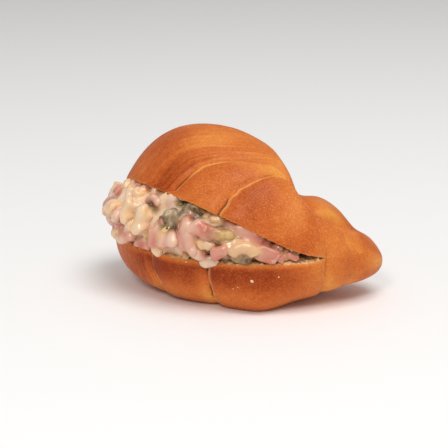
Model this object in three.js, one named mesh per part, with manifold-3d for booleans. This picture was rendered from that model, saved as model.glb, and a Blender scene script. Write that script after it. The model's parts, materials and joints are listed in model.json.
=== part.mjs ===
// A filled crescent roll: soft bread cut open from its blunt end and bent up at the hinge, with a salad
// in the mouth.
// Millimetres, +Z up. +X points along the roll to its tapered tip, and the open side faces -Y.

import * as THREE from "three";
import { mergeVertices } from "three/addons/utils/BufferGeometryUtils.js";
import Module from "manifold-3d";

const DEGREE = Math.PI / 180;

// The bread before it is bent open
const HALF_LENGTH = 60;
const HALF_WIDTH = 27.6;
const CROWN_HEIGHT = 35.9; // from the cut up to the top
const BELLY_DEPTH = 23.5; // from the cut down to the underside, before the table presses it flat
const UNDERSIDE_PRESSED = 1.6;
const CUT_HEIGHT = BELLY_DEPTH - UNDERSIDE_PRESSED;
const MIDDLE = new THREE.Vector2(-1.2, -6.1); // the middle line halfway along
const HEADING = -8.6 * DEGREE; // its direction there, from +X
const LEFT_BEND_RADIUS = 52.5;
const RIGHT_BEND_RADIUS = 233;
const BLUNT_DROP = -1.65; // how far the middle line sinks towards each end
const TIP_DROP = 6.54;
const SIDE_ROUNDING = 0.9; // 1 is a round side, less is a fuller one
const BELLY_ROUNDING = 0.75;

// How full each end is: the share of the size left at a place is (1 - place ** power) ** root
const BLUNT_END = { width: [2.56, 0.67], crown: [4.18, 0.534], belly: [3.83, 0.626] };
const TAPERED_END = { width: [1.87, 0.485], crown: [0.966, 0.606], belly: [0.897, 0.435] };

// The rolled layers of dough: how far each edge stands out, and over what length it settles back
const MEAN_RADIUS = 27;
const TONGUE_RISE = 1.9;
const SECOND_RISE = 1.7;
const LAYER_SETTLE = 2.3;
const EDGE_GROOVE = 0.5;
const EDGE_GROOVE_WIDTH = 1.2;
const TONGUE_TIP_ANGLE = 43.5; // degrees up from the front, halfway along
const TONGUE_TIP_SLOPE = 40; // how much higher its end lies towards the tapered tip
const SECOND_TIP_ANGLE = 52.2;
const SECOND_TIP_SLOPE = 77.3;
const SECOND_TIP_SAG = 43.6; // how far its end hangs down beside the tongue
const SIDE_BLEND = 4; // the rounding where the edges of a layer meet
const TONGUE_TIP_BLEND = 9.4;
const SECOND_TIP_BLEND = 5.5;

// The dome of the lid, the fold over the hinge, the crease before the tapered tip, and the fullest part of
// the base
const DOME = { place: -0.241, width: 19, depth: -2.28 };
const FOLD = { place: 0.415, width: 7.2, depth: 5.07 };
const SHOULDER = { place: 0.823, width: 5.1, depth: 5.73 };
const CHIN = { place: 0.198, width: 9.35, depth: -3.92 };

// The knife's cut
const CUT_GAP = 0.5;
const CRUMB_RELIEF = 0.15; // how unevenly the crumb tears
const CUT_START = 1; // where the knife stopped, across the hinge line
const RIM_LIFT_DEPTH = 10; // how deep the base is drawn up with the lid beside the cut's end
const RIM_LIFT_LENGTH = 8;

// The hinge
const HINGE = new THREE.Vector2(30.2, -24.8); // a point that the hinge line passes over
const HINGE_TURN = 55.1 * DEGREE; // the line's direction, from -X towards +Y
const LID_ANGLE = 32.25 * DEGREE;
const BEND_START = -7.8; // across the hinge line, towards the open side
const BEND_LENGTH = 31.6;
const BEND_EASE = 0.157; // the share of the bend at each side where it eases off
const BEND_STEPS = 16;

// The salad in the mouth
const FRONT_REACH = 1.42; // how far along it goes from the blunt end, in half lengths
const BACK_REACH = 0.8;
const SALAD_MIDDLE = new THREE.Vector2(-19, -14.8);
const SALAD_CLEARANCE = 0.8; // between its core and the cut faces
const TRIM_CLEARANCE = 0.3; // between its pieces and the bread
const FRONT_BULGE = 3;
const LEFT_BULGE = 7.6;
const LEFT_BULGE_AT = 0.42; // share of the rim
const LEFT_BULGE_SPREAD = 0.16;
const EDGE_OVERHANG = 0.5; // how far it stands out past the cut faces' edges
const END_INSET = 1; // how far it lies back where the mouth closes
const END_SHARE = 0.12;
const CORE_INSET = 3.3; // how deep the core lies under the outermost points of the pieces
const CORE_UNEVENNESS = 0.6;

// The pieces in the salad
const HEAP_SEED = 11;
const HEAP_COLUMNS = 29;
const HEAP_ROW_HEIGHT = 5.4;
const PIECE_CLEARANCE = 0.2; // to the cut faces
const PIECE_RAGGEDNESS = 1; // how unevenly the pieces come out to the salad's face
const PASTA_SHARE = 0.34;
const MUSHROOM_PATCHES = [
  { share: 0.3, height: 0.7, spread: 0.07 },
  { share: 0.12, height: 0.2, spread: 0.05 },
];
const MUSHROOM_PATCH_HEIGHT = 0.22;
const HAM_SIZE = 6.6;
const PASTA = { length: 9, radius: 2.6, bore: 1.2, bend: 7, steps: 2, sides: 6 };
const MUSHROOM = { size: 9, thickness: 2.4, sides: 9 };

// How finely the solids are faceted
const RINGS_PER_BAND = [13, 7, 11, 6, 9];
const RIM_STEPS = 46;
const CRUMB_CELL = 6;
const CUT_REACH = 96; // past the bread's edge, as both ends of the cut are
const CUT_FRONT_END = -69;
const CUT_BACK_END = 105;
const WALL_HEIGHTS = [0, 0.2, 0.5, 0.8, 1];
const SHEET_SPREADS = [0.35, 0.75];

const wasm = await Module();
wasm.setup();

function clamp(value, low = 0, high = 1) {
  return Math.min(high, Math.max(low, value));
}

function smooth(value) {
  const share = clamp(value);
  return share * share * (3 - 2 * share);
}

// The smaller of two distances, rounded where they meet
function softMin(a, b, blend) {
  const share = clamp(0.5 + (0.5 * (b - a)) / blend);
  return b * (1 - share) + a * share - blend * share * (1 - share);
}

// The same random numbers each time
function makeRandom(seed) {
  let state = seed;
  return () => {
    state = (state * 16807) % 2147483647;
    return state / 2147483647;
  };
}

// The middle line of the bread, from -1 at the blunt end to 1 at the tapered tip
function middleLine(place) {
  const radius = place < 0 ? LEFT_BEND_RADIUS : RIGHT_BEND_RADIUS;
  const heading = HEADING + (place * HALF_LENGTH) / radius;
  const x = MIDDLE.x + radius * (Math.sin(heading) - Math.sin(HEADING));
  const y = MIDDLE.y + radius * (Math.cos(HEADING) - Math.cos(heading));
  return { x, y, heading };
}

function fullness(place, part) {
  const [power, root] = (place < 0 ? BLUNT_END : TAPERED_END)[part];
  return Math.max(0, 1 - Math.abs(place) ** power) ** root;
}

// Angles round the roll are in degrees: 0 at the front, 110 over the top, and -250 for that same line
// when it is reached the other way, under the belly and up the back. The layers wind that way from
// their tips. These are the places of the edges of the last two layers at an angle.
function layerEdges(angle) {
  const under = smooth((-angle - 10) / 40);
  const behind = smooth((-angle - 90) / 100);
  const climb = smooth((angle - 10) / 32);
  const secondClimb = 0.09 * smooth((angle + 3.4) / 24) + 0.02 * smooth(-angle / 25);
  return {
    secondLeft: -0.367 + secondClimb - 0.06 * smooth((-angle - 60) / 120) - 0.16 * behind,
    tongueLeft: -0.079 + 0.089 * smooth(angle / 50) + 0.02 * under - 0.2 * behind,
    tongueRight: 0.579 - 0.102 * climb - 0.02 * smooth(-angle / 60) + 0.05 * behind,
    secondRight: 0.758 - 0.05 * climb - 0.05 * smooth((-angle - 20) / 30) + 0.07 * behind,
  };
}

// How far inside a layer a place is, in millimetres, negative outside
function insideLayer(place, angle, left, right, tipAngle, tipBlend) {
  const fromSides = softMin((place - left) * HALF_LENGTH, (right - place) * HALF_LENGTH, SIDE_BLEND);
  return softMin(fromSides, (tipAngle - angle) * DEGREE * MEAN_RADIUS, tipBlend);
}

function layerStep(inside, rise) {
  const step = inside > 0 ? 1 - Math.exp(-inside / LAYER_SETTLE) : 0;
  return rise * step - EDGE_GROOVE * Math.exp(-(((inside + EDGE_GROOVE) / EDGE_GROOVE_WIDTH) ** 2));
}

function groove(place, { place: at, width, depth }) {
  return -depth * Math.exp(-((((place - at) * HALF_LENGTH) / width) ** 2));
}

// 0 outside a span of angles and 1 inside it, eased at both ends
function span(angle, start, startEase, end, endEase) {
  return smooth((angle - start) / startEase) * (1 - smooth((angle - end) / endEase));
}

// How far the crust stands above the plain form
function relief(place, angle) {
  const edges = layerEdges(angle);
  const tongueTip = TONGUE_TIP_ANGLE + TONGUE_TIP_SLOPE * place;
  const secondSag = SECOND_TIP_SAG * smooth(2 * place);
  const secondTip = SECOND_TIP_ANGLE + SECOND_TIP_SLOPE * place - secondSag;
  const tongue = insideLayer(place, angle, edges.tongueLeft, edges.tongueRight, tongueTip, TONGUE_TIP_BLEND);
  const second = insideLayer(place, angle, edges.secondLeft, edges.secondRight, secondTip, SECOND_TIP_BLEND);
  const layers = layerStep(tongue, TONGUE_RISE) + layerStep(second, SECOND_RISE);
  const windingFade = 1 - smooth((-angle - 200) / 50);
  const overTop = angle < -100 ? angle + 360 : angle;
  const shoulder = { ...SHOULDER, place: SHOULDER.place - 0.17 * smooth((86 - overTop) / 36) };
  return (
    layers * windingFade +
    groove(place, DOME) * span(overTop, 50, 30, 150, 50) +
    groove(place, FOLD) * span(overTop, 47, 12, 130, 30) +
    groove(place, shoulder) * span(overTop, 44, 8, 200, 50) +
    groove(place, CHIN) * span(-angle, 5, 30, 70, 40)
  );
}

// A point of the crust of the closed roll
function crust(place, angle) {
  const line = middleLine(place);
  const swell = 1 + relief(place, angle) / MEAN_RADIUS;
  const across = Math.cos(angle * DEGREE);
  const rise = Math.sin(angle * DEGREE);
  const roundness = Math.sign(across) * Math.abs(across) ** SIDE_ROUNDING;
  const sideways = HALF_WIDTH * fullness(place, "width") * roundness;
  const up = rise > 0
    ? CROWN_HEIGHT * fullness(place, "crown") * rise
    : -BELLY_DEPTH * fullness(place, "belly") * Math.abs(rise) ** BELLY_ROUNDING;
  const sunk = (place > 0 ? TIP_DROP : BLUNT_DROP) * place * place;
  return new THREE.Vector3(
    line.x + swell * sideways * Math.sin(line.heading),
    line.y - swell * sideways * Math.cos(line.heading),
    Math.max(0, CUT_HEIGHT - sunk + swell * up),
  );
}

const AWAY = new THREE.Vector2(-Math.sin(HINGE_TURN), -Math.cos(HINGE_TURN));
const ALONG = new THREE.Vector2(-Math.cos(HINGE_TURN), Math.sin(HINGE_TURN));

// How far a place is from the hinge line towards the open side, and along the line
function fromHinge(x, y) {
  const offset = new THREE.Vector2(x, y).sub(HINGE);
  return { reach: offset.dot(AWAY), run: offset.dot(ALONG) };
}

function hingePoint(reach, run, z) {
  const plan = HINGE.clone().addScaledVector(AWAY, reach).addScaledVector(ALONG, run);
  return new THREE.Vector3(plan.x, plan.y, z);
}

// The share of the lid's angle reached across the bend: an even curve, eased in and out
function bendShare(value) {
  const share = clamp(value);
  const slope = 1 / (1 - BEND_EASE);
  if (share < BEND_EASE) return (slope * share * share) / (2 * BEND_EASE);
  if (share > 1 - BEND_EASE) return 1 - (slope * (1 - share) ** 2) / (2 * BEND_EASE);
  return slope * (share - BEND_EASE / 2);
}

// Where a point of the closed roll goes when the lid is bent up by a share of its angle
function openLid(point, share = 1) {
  const { reach, run } = fromHinge(point.x, point.y);
  const height = point.z - CUT_HEIGHT;
  const turn = LID_ANGLE * share;
  const bent = clamp((reach - BEND_START) / BEND_LENGTH);
  const angle = turn * bendShare(bent);
  const straight = Math.max(0, reach - BEND_START - BEND_LENGTH);
  const step = (bent * BEND_LENGTH) / BEND_STEPS;
  let away = Math.min(reach, BEND_START) + straight * Math.cos(angle) - height * Math.sin(angle);
  let up = straight * Math.sin(angle) + height * Math.cos(angle);
  for (let k = 0; k < BEND_STEPS; k += 1) {
    const slope = turn * bendShare((bent * (k + 0.5)) / BEND_STEPS);
    away += step * Math.cos(slope);
    up += step * Math.sin(slope);
  }
  return hingePoint(away, run, CUT_HEIGHT + up);
}

// The height of the base's cut face with side -1, and of the lid's with side 1, before the lid is bent.
// The crumb tears unevenly, to both sides of the knife's plane.
function cutFace(x, y, side) {
  const waves = Math.sin(x * 0.52 + side) * Math.cos(y * 0.47 - side) + 0.6 * Math.sin(x * 0.29 - y * 0.71);
  return CUT_HEIGHT + side * (CUT_GAP / 2 + CRUMB_RELIEF * (1.6 + waves));
}

function meshFrom(rings, faces, ends = []) {
  const geometry = new THREE.BufferGeometry();
  const positions = [...rings.flat(), ...ends].flatMap((p) => [p.x, p.y, p.z]);
  geometry.setAttribute("position", new THREE.Float32BufferAttribute(positions, 3));
  geometry.setIndex(faces);
  return geometry;
}

// The faces between two rings of points
function ringFaces(a, b, count) {
  const faces = [];
  for (let i = 0; i < count; i += 1) {
    const next = (i + 1) % count;
    faces.push(a + i, b + i, a + next, a + next, b + i, b + next);
  }
  return faces;
}

// A closed mesh from rings of points, each end drawn to a point
function closedRings(first, rings, last) {
  const count = rings[0].length;
  const faces = [];
  const start = rings.length * count;
  const final = start - count;
  for (let k = 0; k + 1 < rings.length; k += 1) faces.push(...ringFaces(k * count, (k + 1) * count, count));
  for (let i = 0; i < count; i += 1) {
    const next = (i + 1) % count;
    faces.push(start, i, next, start + 1, final + next, final + i);
  }
  return meshFrom(rings, faces, [first, last]);
}

// A closed mesh from a cycle of rings
function ringCycle(rings) {
  const count = rings[0].length;
  const faces = rings.flatMap((_, k) => ringFaces(k * count, ((k + 1) % rings.length) * count, count));
  return meshFrom(rings, faces);
}

function toSolid(geometry) {
  const bare = geometry.clone();
  bare.deleteAttribute("normal");
  bare.deleteAttribute("uv");
  const merged = mergeVertices(bare, 1e-4);
  const mesh = new wasm.Mesh({
    numProp: 3,
    vertProperties: new Float32Array(merged.attributes.position.array),
    triVerts: new Uint32Array(merged.index.array),
  });
  return new wasm.Manifold(mesh);
}

function toGeometry(solid) {
  const mesh = solid.getMesh();
  const geometry = new THREE.BufferGeometry();
  geometry.setAttribute("position", new THREE.Float32BufferAttribute(mesh.vertProperties, 3));
  geometry.setIndex(Array.from(mesh.triVerts));
  return geometry;
}

// Angles of the points round a ring: closest together where the tongue's tip shows
function ringAngles() {
  const angles = [];
  for (let angle = -250; angle < -90; angle += 10) angles.push(angle);
  for (let angle = -90; angle < 0; angle += 7.5) angles.push(angle);
  for (let angle = 0; angle < 110; angle += 5) angles.push(angle);
  return angles;
}

// Where a ring crosses an angle. Each ring keeps its share of the band between two layer edges, so that
// the edges stay crisp.
function ringPlace(band, share, angle) {
  const edges = layerEdges(angle);
  const marks = [-1, edges.secondLeft, edges.tongueLeft, edges.tongueRight, edges.secondRight, 1];
  return THREE.MathUtils.lerp(marks[band], marks[band + 1], share);
}

function closedRoll() {
  const angles = ringAngles();
  const rings = [];
  RINGS_PER_BAND.forEach((count, band) => {
    for (let k = band === 0 ? 1 : 0; k < count; k += 1) {
      const share = 0.5 - 0.5 * Math.cos((Math.PI * k) / count);
      rings.push(angles.map((angle) => crust(ringPlace(band, share, angle), angle)));
    }
  });
  return closedRings(crust(-1, 0), rings, crust(1, 0));
}

// The thin uneven slab that the knife takes out, from the end of the cut to past the bread's edge
function knifeCut(inset) {
  const reaches = [];
  for (let reach = CUT_START; reach < CUT_REACH; reach += CRUMB_CELL) reaches.push(reach);
  const runs = [];
  for (let run = CUT_FRONT_END; run < CUT_BACK_END; run += CRUMB_CELL) runs.push(run);
  const at = (reach, run, side) => {
    const point = hingePoint(reach, run, CUT_HEIGHT);
    if (side) point.z = cutFace(point.x, point.y, side) - side * inset;
    return point;
  };
  const rings = runs.map((run) => [
    ...reaches.map((reach) => at(reach, run, 1)),
    ...reaches.toReversed().map((reach) => at(reach, run, -1)),
  ]);
  const middle = (CUT_START + CUT_REACH) / 2;
  return closedRings(at(middle, runs[0], 0), rings, at(middle, runs.at(-1), 0));
}

// How far a point of the base is drawn up with the lid: only near the cut's end, where they are one piece
function rimLift({ x, y, z }) {
  const past = fromHinge(x, y).reach - CUT_START;
  return smooth((z - CUT_HEIGHT) / RIM_LIFT_DEPTH + 1) * (1 - smooth(past / RIM_LIFT_LENGTH));
}

// Bends the lid up, and the base a little beside the cut's end
function bendOpen(geometry) {
  const position = geometry.attributes.position;
  const point = new THREE.Vector3();
  for (let i = 0; i < position.count; i += 1) {
    point.fromBufferAttribute(position, i);
    const bent = openLid(point, point.z > CUT_HEIGHT ? 1 : rimLift(point));
    position.setXYZ(i, bent.x, bent.y, bent.z);
  }
  return geometry;
}

// The bread with its lid bent up. An inset moves both cut faces into the mouth, for trimming the salad.
function openRoll(inset = 0) {
  return bendOpen(toGeometry(toSolid(closedRoll()).subtract(toSolid(knifeCut(inset)))));
}

// A point of the mouth's rim in plan, at a share of the way along the front to the blunt end and back
// along the far side
function rimPoint(share) {
  const turned = 1 - 2 * share;
  const side = Math.sign(turned) || 1;
  const reach = side > 0 ? FRONT_REACH : BACK_REACH;
  const place = -1 + reach * (1 - Math.cos((turned * Math.PI) / 2));
  const line = middleLine(place);
  const across = side * HALF_WIDTH * fullness(place, "width");
  const point = new THREE.Vector2(
    line.x + across * Math.sin(line.heading),
    line.y - across * Math.cos(line.heading),
  );
  return { point, place, side };
}

// The outward direction of the rim in plan
function rimOutward(share) {
  const step = 0.004;
  const along = rimPoint(clamp(share + step)).point.sub(rimPoint(clamp(share - step)).point).normalize();
  return new THREE.Vector2(-along.y, along.x);
}

// How far the salad stands out past the plain rim at a share of the rim and of the mouth's height
function saladBulge(share, height) {
  const { place, side } = rimPoint(share);
  const left = Math.exp(-(((share - LEFT_BULGE_AT) / LEFT_BULGE_SPREAD) ** 2));
  const most = FRONT_BULGE + (LEFT_BULGE - FRONT_BULGE) * left;
  const inMouth = most * Math.sin(Math.PI * clamp(height)) ** 0.8 + EDGE_OVERHANG;
  const awayFromEnds = smooth(share / END_SHARE) * smooth((1 - share) / END_SHARE);
  return relief(place, side > 0 ? 0 : -180) + inMouth * awayFromEnds - END_INSET * (1 - awayFromEnds);
}

// A point of the salad's outer face, at a share of the rim and of the mouth's height, sunk by some depth
function saladWall(share, height, sunk) {
  const { x, y } = rimPoint(share).point.addScaledVector(rimOutward(share), saladBulge(share, height) - sunk);
  const low = cutFace(x, y, -1) + SALAD_CLEARANCE;
  const high = cutFace(x, y, 1) - SALAD_CLEARANCE;
  return openLid(new THREE.Vector3(x, y, THREE.MathUtils.lerp(low, high, height)), height);
}

// A point of the salad against the base with side -1, or the lid with side 1, spread from its middle
// towards the rim
function saladSheet(share, spread, side) {
  const stands = saladBulge(share, 0) - CORE_INSET;
  const edge = rimPoint(share).point.addScaledVector(rimOutward(share), stands);
  const plan = SALAD_MIDDLE.clone().lerp(edge, spread);
  const point = new THREE.Vector3(plan.x, plan.y, cutFace(plan.x, plan.y, side) - side * SALAD_CLEARANCE);
  return side > 0 ? openLid(point) : point;
}

function coreUnevenness(share, height) {
  const waves = Math.sin(share * 71) * Math.sin(height * 9 + share * 23);
  return CORE_UNEVENNESS * waves * Math.sin(Math.PI * height);
}

// The sauce and the pieces that don't show, filling the mouth from its base to the lid
function saladCore() {
  const shares = Array.from({ length: RIM_STEPS }, (_, k) => k / (RIM_STEPS - 1));
  const sheet = (side, spread) => shares.map((share) => saladSheet(share, spread, side));
  const wall = (height) => shares.map(
    (share) => saladWall(share, height, CORE_INSET + coreUnevenness(share, height)));
  const rings = [
    ...SHEET_SPREADS.map((spread) => sheet(-1, spread)),
    ...WALL_HEIGHTS.map(wall),
    ...SHEET_SPREADS.toReversed().map((spread) => sheet(1, spread)),
  ];
  return closedRings(saladSheet(0, 0, -1), rings, saladSheet(0, 0, 1));
}

// Moves each point of a geometry
function reshape(geometry, move) {
  const position = geometry.attributes.position;
  for (let i = 0; i < position.count; i += 1) {
    position.setXYZ(i, ...move(position.getX(i), position.getY(i), position.getZ(i)));
  }
  return geometry;
}

// A die of ham, a little out of square
function hamDie(random) {
  const size = HAM_SIZE * (0.8 + 0.35 * random());
  const die = new THREE.BoxGeometry(size, size * (0.75 + 0.25 * random()), size * (0.7 + 0.2 * random()));
  const skew = 0.25 * (random() - 0.5);
  const taper = (0.16 * (random() - 0.5)) / size;
  return reshape(die, (x, y, z) => [x * (1 + taper * z) + skew * y, y, z * (1 + taper * x)]);
}

// A short bent tube of pasta with its bore open
function pastaElbow(random) {
  const { steps, sides, radius, bore } = PASTA;
  const bend = (PASTA.length * (0.8 + 0.3 * random())) / PASTA.bend;
  const loop = (size, step) => Array.from({ length: sides }, (_, k) => {
    const turn = bend * (step / steps - 0.5);
    const around = (2 * Math.PI * k) / sides;
    const out = PASTA.bend + size * Math.cos(around);
    const rise = out * Math.cos(turn) - PASTA.bend;
    return new THREE.Vector3(out * Math.sin(turn), size * Math.sin(around), rise);
  });
  const outside = Array.from({ length: steps + 1 }, (_, step) => loop(radius, step));
  const inside = Array.from({ length: steps + 1 }, (_, step) => loop(bore, steps - step));
  return ringCycle([...outside, ...inside]);
}

// A curled slice of mushroom: a thin oval disc with a wavy rim
function mushroomSlice(random) {
  const size = MUSHROOM.size * (0.75 + 0.4 * random());
  const slice = new THREE.CylinderGeometry(size / 2, size / 2.3, MUSHROOM.thickness, MUSHROOM.sides, 1);
  slice.scale(1, 1, 0.6 + 0.25 * random());
  const curl = 0.05 * (random() + 0.4);
  return reshape(slice, (x, y, z) => [x, y - curl * x * x + 0.4 * Math.sin(z * 1.4 + x), z]);
}

function mouthHeight(share) {
  return saladWall(share, 1, 0).distanceTo(saladWall(share, 0, 0));
}

// Where the pieces lie: columns along the rim, each as many pieces high as the mouth has room for
function piecePlaces(random) {
  const places = [];
  for (let column = 0; column < HEAP_COLUMNS; column += 1) {
    const share = (column + 0.5) / HEAP_COLUMNS;
    const room = mouthHeight(share);
    const rows = Math.max(1, Math.round(room / HEAP_ROW_HEIGHT));
    for (let row = 0; row < rows; row += 1) {
      const shift = 0.5 * (row % 2) + 0.5 * (random() - 0.5);
      places.push({ share: share + shift / HEAP_COLUMNS, height: (row + 0.5) / rows, room });
    }
  }
  return places;
}

const MAKE_PIECE = { ham: hamDie, pasta: pastaElbow, mushroom: mushroomSlice };

// Which kind lies there: mushroom gathers in dark patches, pasta and ham take turns elsewhere
function kindAt({ share, height }, random) {
  const dark = MUSHROOM_PATCHES.some((patch) => {
    const along = (share - patch.share) / patch.spread;
    const above = (height - patch.height) / MUSHROOM_PATCH_HEIGHT;
    return along ** 2 + above ** 2 < 1;
  });
  if (dark) return "mushroom";
  return random() < PASTA_SHARE ? "pasta" : "ham";
}

// How far a piece reaches from its middle in a direction
function reachAlong(piece, direction) {
  const position = piece.attributes.position;
  const point = new THREE.Vector3();
  let reach = 0;
  for (let i = 0; i < position.count; i += 1) {
    reach = Math.max(reach, point.fromBufferAttribute(position, i).dot(direction));
  }
  return reach;
}

// Sets a piece into the heap: between the cut faces, and just out to the heap's own face
function seatPiece(piece, { share, height, room }, sunk) {
  const up = saladWall(share, 1, 0).sub(saladWall(share, 0, 0)).normalize();
  const down = up.clone().negate();
  const fit = Math.min(1, (room - 2 * PIECE_CLEARANCE) / (reachAlong(piece, up) + reachAlong(piece, down)));
  piece.scale(fit, fit, fit);
  const lowest = reachAlong(piece, down) + PIECE_CLEARANCE;
  const highest = room - reachAlong(piece, up) - PIECE_CLEARANCE;
  const level = clamp(height * room, lowest, Math.max(lowest, highest)) / room;
  const face = saladWall(share, level, sunk);
  const outward = face.clone().sub(saladWall(share, level, sunk + 1)).normalize();
  const seat = face.addScaledVector(outward, -reachAlong(piece, outward));
  return piece.translate(seat.x, seat.y, seat.z);
}

function largestPiece(solid) {
  return solid.decompose().reduce((best, piece) => (piece.volume() > best.volume() ? piece : best));
}

// The salad: its core with the pieces that show, trimmed clear of the bread
function saladHeap() {
  const random = makeRandom(HEAP_SEED);
  let heap = toSolid(saladCore());
  for (const place of piecePlaces(random)) {
    const piece = MAKE_PIECE[kindAt(place, random)](random);
    const spin = new THREE.Euler(3 * random(), 3 * random(), 3 * random());
    piece.applyMatrix4(new THREE.Matrix4().makeRotationFromEuler(spin));
    heap = heap.add(toSolid(seatPiece(piece, place, PIECE_RAGGEDNESS * random())));
  }
  return toGeometry(largestPiece(heap.subtract(toSolid(openRoll(TRIM_CLEARANCE)))));
}

// Milk dough baked with an egg wash
function crustMaterial() {
  return new THREE.MeshStandardMaterial({ color: "#cd7238", roughness: 0.42, metalness: 0 });
}

// Dressed salad of ham, pasta and mushroom
function saladMaterial() {
  return new THREE.MeshStandardMaterial({ color: "#e2bfa6", roughness: 0.3, metalness: 0 });
}

function namedMesh(name, geometry, material) {
  const mesh = new THREE.Mesh(geometry, material);
  mesh.name = name;
  return mesh;
}

const filledRoll = new THREE.Group();
filledRoll.add(
  namedMesh("roll", openRoll(), crustMaterial()),
  namedMesh("filling", saladHeap(), saladMaterial()),
);

export default filledRoll;
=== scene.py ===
"""A filled crescent roll: milk bread with an egg-washed crust, cut open and filled with a dressed salad.

Shapes are worked out in millimetres and become metres when their meshes are made.
"""

import json
import math

import bmesh
import bpy
import numpy as np
from bpy.props import FloatProperty, FloatVectorProperty, PointerProperty
from mathutils import Matrix, Vector
from mathutils.bvhtree import BVHTree

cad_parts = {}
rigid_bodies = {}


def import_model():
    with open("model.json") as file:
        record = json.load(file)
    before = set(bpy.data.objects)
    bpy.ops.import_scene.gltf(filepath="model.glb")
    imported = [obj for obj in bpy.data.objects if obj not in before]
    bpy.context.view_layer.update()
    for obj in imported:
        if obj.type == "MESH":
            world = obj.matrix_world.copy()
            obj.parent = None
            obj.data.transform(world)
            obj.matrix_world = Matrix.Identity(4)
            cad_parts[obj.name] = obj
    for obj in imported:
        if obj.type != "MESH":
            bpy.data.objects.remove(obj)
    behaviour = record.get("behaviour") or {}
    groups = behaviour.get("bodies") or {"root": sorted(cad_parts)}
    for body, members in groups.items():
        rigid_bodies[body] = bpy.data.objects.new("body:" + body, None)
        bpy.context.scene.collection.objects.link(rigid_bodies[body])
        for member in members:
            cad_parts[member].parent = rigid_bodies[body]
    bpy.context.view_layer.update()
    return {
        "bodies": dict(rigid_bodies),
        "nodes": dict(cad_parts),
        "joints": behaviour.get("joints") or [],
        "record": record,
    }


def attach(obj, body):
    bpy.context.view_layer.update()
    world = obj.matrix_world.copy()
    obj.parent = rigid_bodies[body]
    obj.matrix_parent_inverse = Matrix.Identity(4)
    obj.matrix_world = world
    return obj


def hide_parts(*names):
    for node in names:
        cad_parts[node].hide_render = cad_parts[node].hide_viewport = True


bl_info = {
    "name": "Filled crescent roll",
    "version": (1, 0, 0),
    "blender": (4, 5, 0),
    "location": "3D View > Sidebar > Filled Roll",
    "description": "Makes a crescent roll with its salad, part by part",
    "category": "Add Mesh",
}

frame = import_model()
MM = 0.001

# The bread before it is bent open, in millimetres and degrees
HALF_LENGTH = 60
HALF_WIDTH = 27.6
CROWN_HEIGHT = 35.9
BELLY_DEPTH = 23.5
UNDERSIDE_PRESSED = 1.6
CUT_HEIGHT = BELLY_DEPTH - UNDERSIDE_PRESSED
MIDDLE = (-1.2, -6.1)
HEADING = math.radians(-8.6)
LEFT_BEND_RADIUS = 52.5
RIGHT_BEND_RADIUS = 233
BLUNT_DROP = -1.65
TIP_DROP = 6.54
SIDE_ROUNDING = 0.9
BELLY_ROUNDING = 0.75
BLUNT_END = {"width": (2.56, 0.67), "crown": (4.18, 0.534), "belly": (3.83, 0.626)}
TAPERED_END = {"width": (1.87, 0.485), "crown": (0.966, 0.606), "belly": (0.897, 0.435)}
CREST_ROUNDING = 0.13
CREST_CARRY = 0.1

# The rolled layers of dough
MEAN_RADIUS = 27
TONGUE_RISE = 1.9
SECOND_RISE = 1.7
LAYER_SETTLE = 2.3
EDGE_GROOVE = 0.5
EDGE_GROOVE_WIDTH = 1.2
TONGUE_TIP_ANGLE = 43.5
TONGUE_TIP_SLOPE = 40
SECOND_TIP_ANGLE = 54.6
SECOND_TIP_SLOPE = 82.8
SECOND_TIP_SAG = 48
SIDE_BLEND = 4
TONGUE_TIP_BLEND = 9.4
SECOND_TIP_BLEND = 14.1
DOME = {"place": -0.241, "width": 19, "depth": -2.28}
FOLD = {"place": 0.415, "width": 7.2, "depth": 5.07}
SHOULDER = {"place": 0.823, "width": 5.1, "depth": 5.73}
CHIN = {"place": 0.198, "width": 9.35, "depth": -3.92}

# The knife's cut, its edges and the hinge
CUT_GAP = 0.5
CRUMB_RELIEF = 0.15
RIM_ROUND_WIDTH = 1.3
BASE_ROUND_DEPTH = 0.55
LID_ROUND_DEPTH = 0.3
TEAR_FALLOFF = 2.6
CRUST_THICKNESS = 0.9
CRUMB_SINK = 0.35
RIM_PARTED = 0.5
CUT_START = 1
RIM_LIFT_DEPTH = 10
RIM_LIFT_LENGTH = 8
HINGE = np.array([30.2, -24.8])
HINGE_TURN = math.radians(55.1)
AWAY = np.array([-math.sin(HINGE_TURN), -math.cos(HINGE_TURN)])
ALONG = np.array([-math.cos(HINGE_TURN), math.sin(HINGE_TURN)])
LID_ANGLE = math.radians(32.25)
BEND_START = -7.8
BEND_LENGTH = 31.6
BEND_EASE = 0.157
BEND_STEPS = 16

# The salad's form: its face follows the mouth's rim, and its core lies under the pieces that show
FRONT_REACH = 1.42
BACK_REACH = 0.8
SALAD_MIDDLE = np.array([-19, -14.8])
CORE_CLEARANCE = 0.3
PIECE_CLEARANCE = 0.2
FRONT_BULGE = 3
LEFT_BULGE = 7.6
LEFT_BULGE_AT = 0.42
LEFT_BULGE_SPREAD = 0.16
EDGE_OVERHANG = 0.5
END_INSET = 1
END_SHARE = 0.12
CORE_INSET = 4.2
CORE_STEPS = 120

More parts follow.
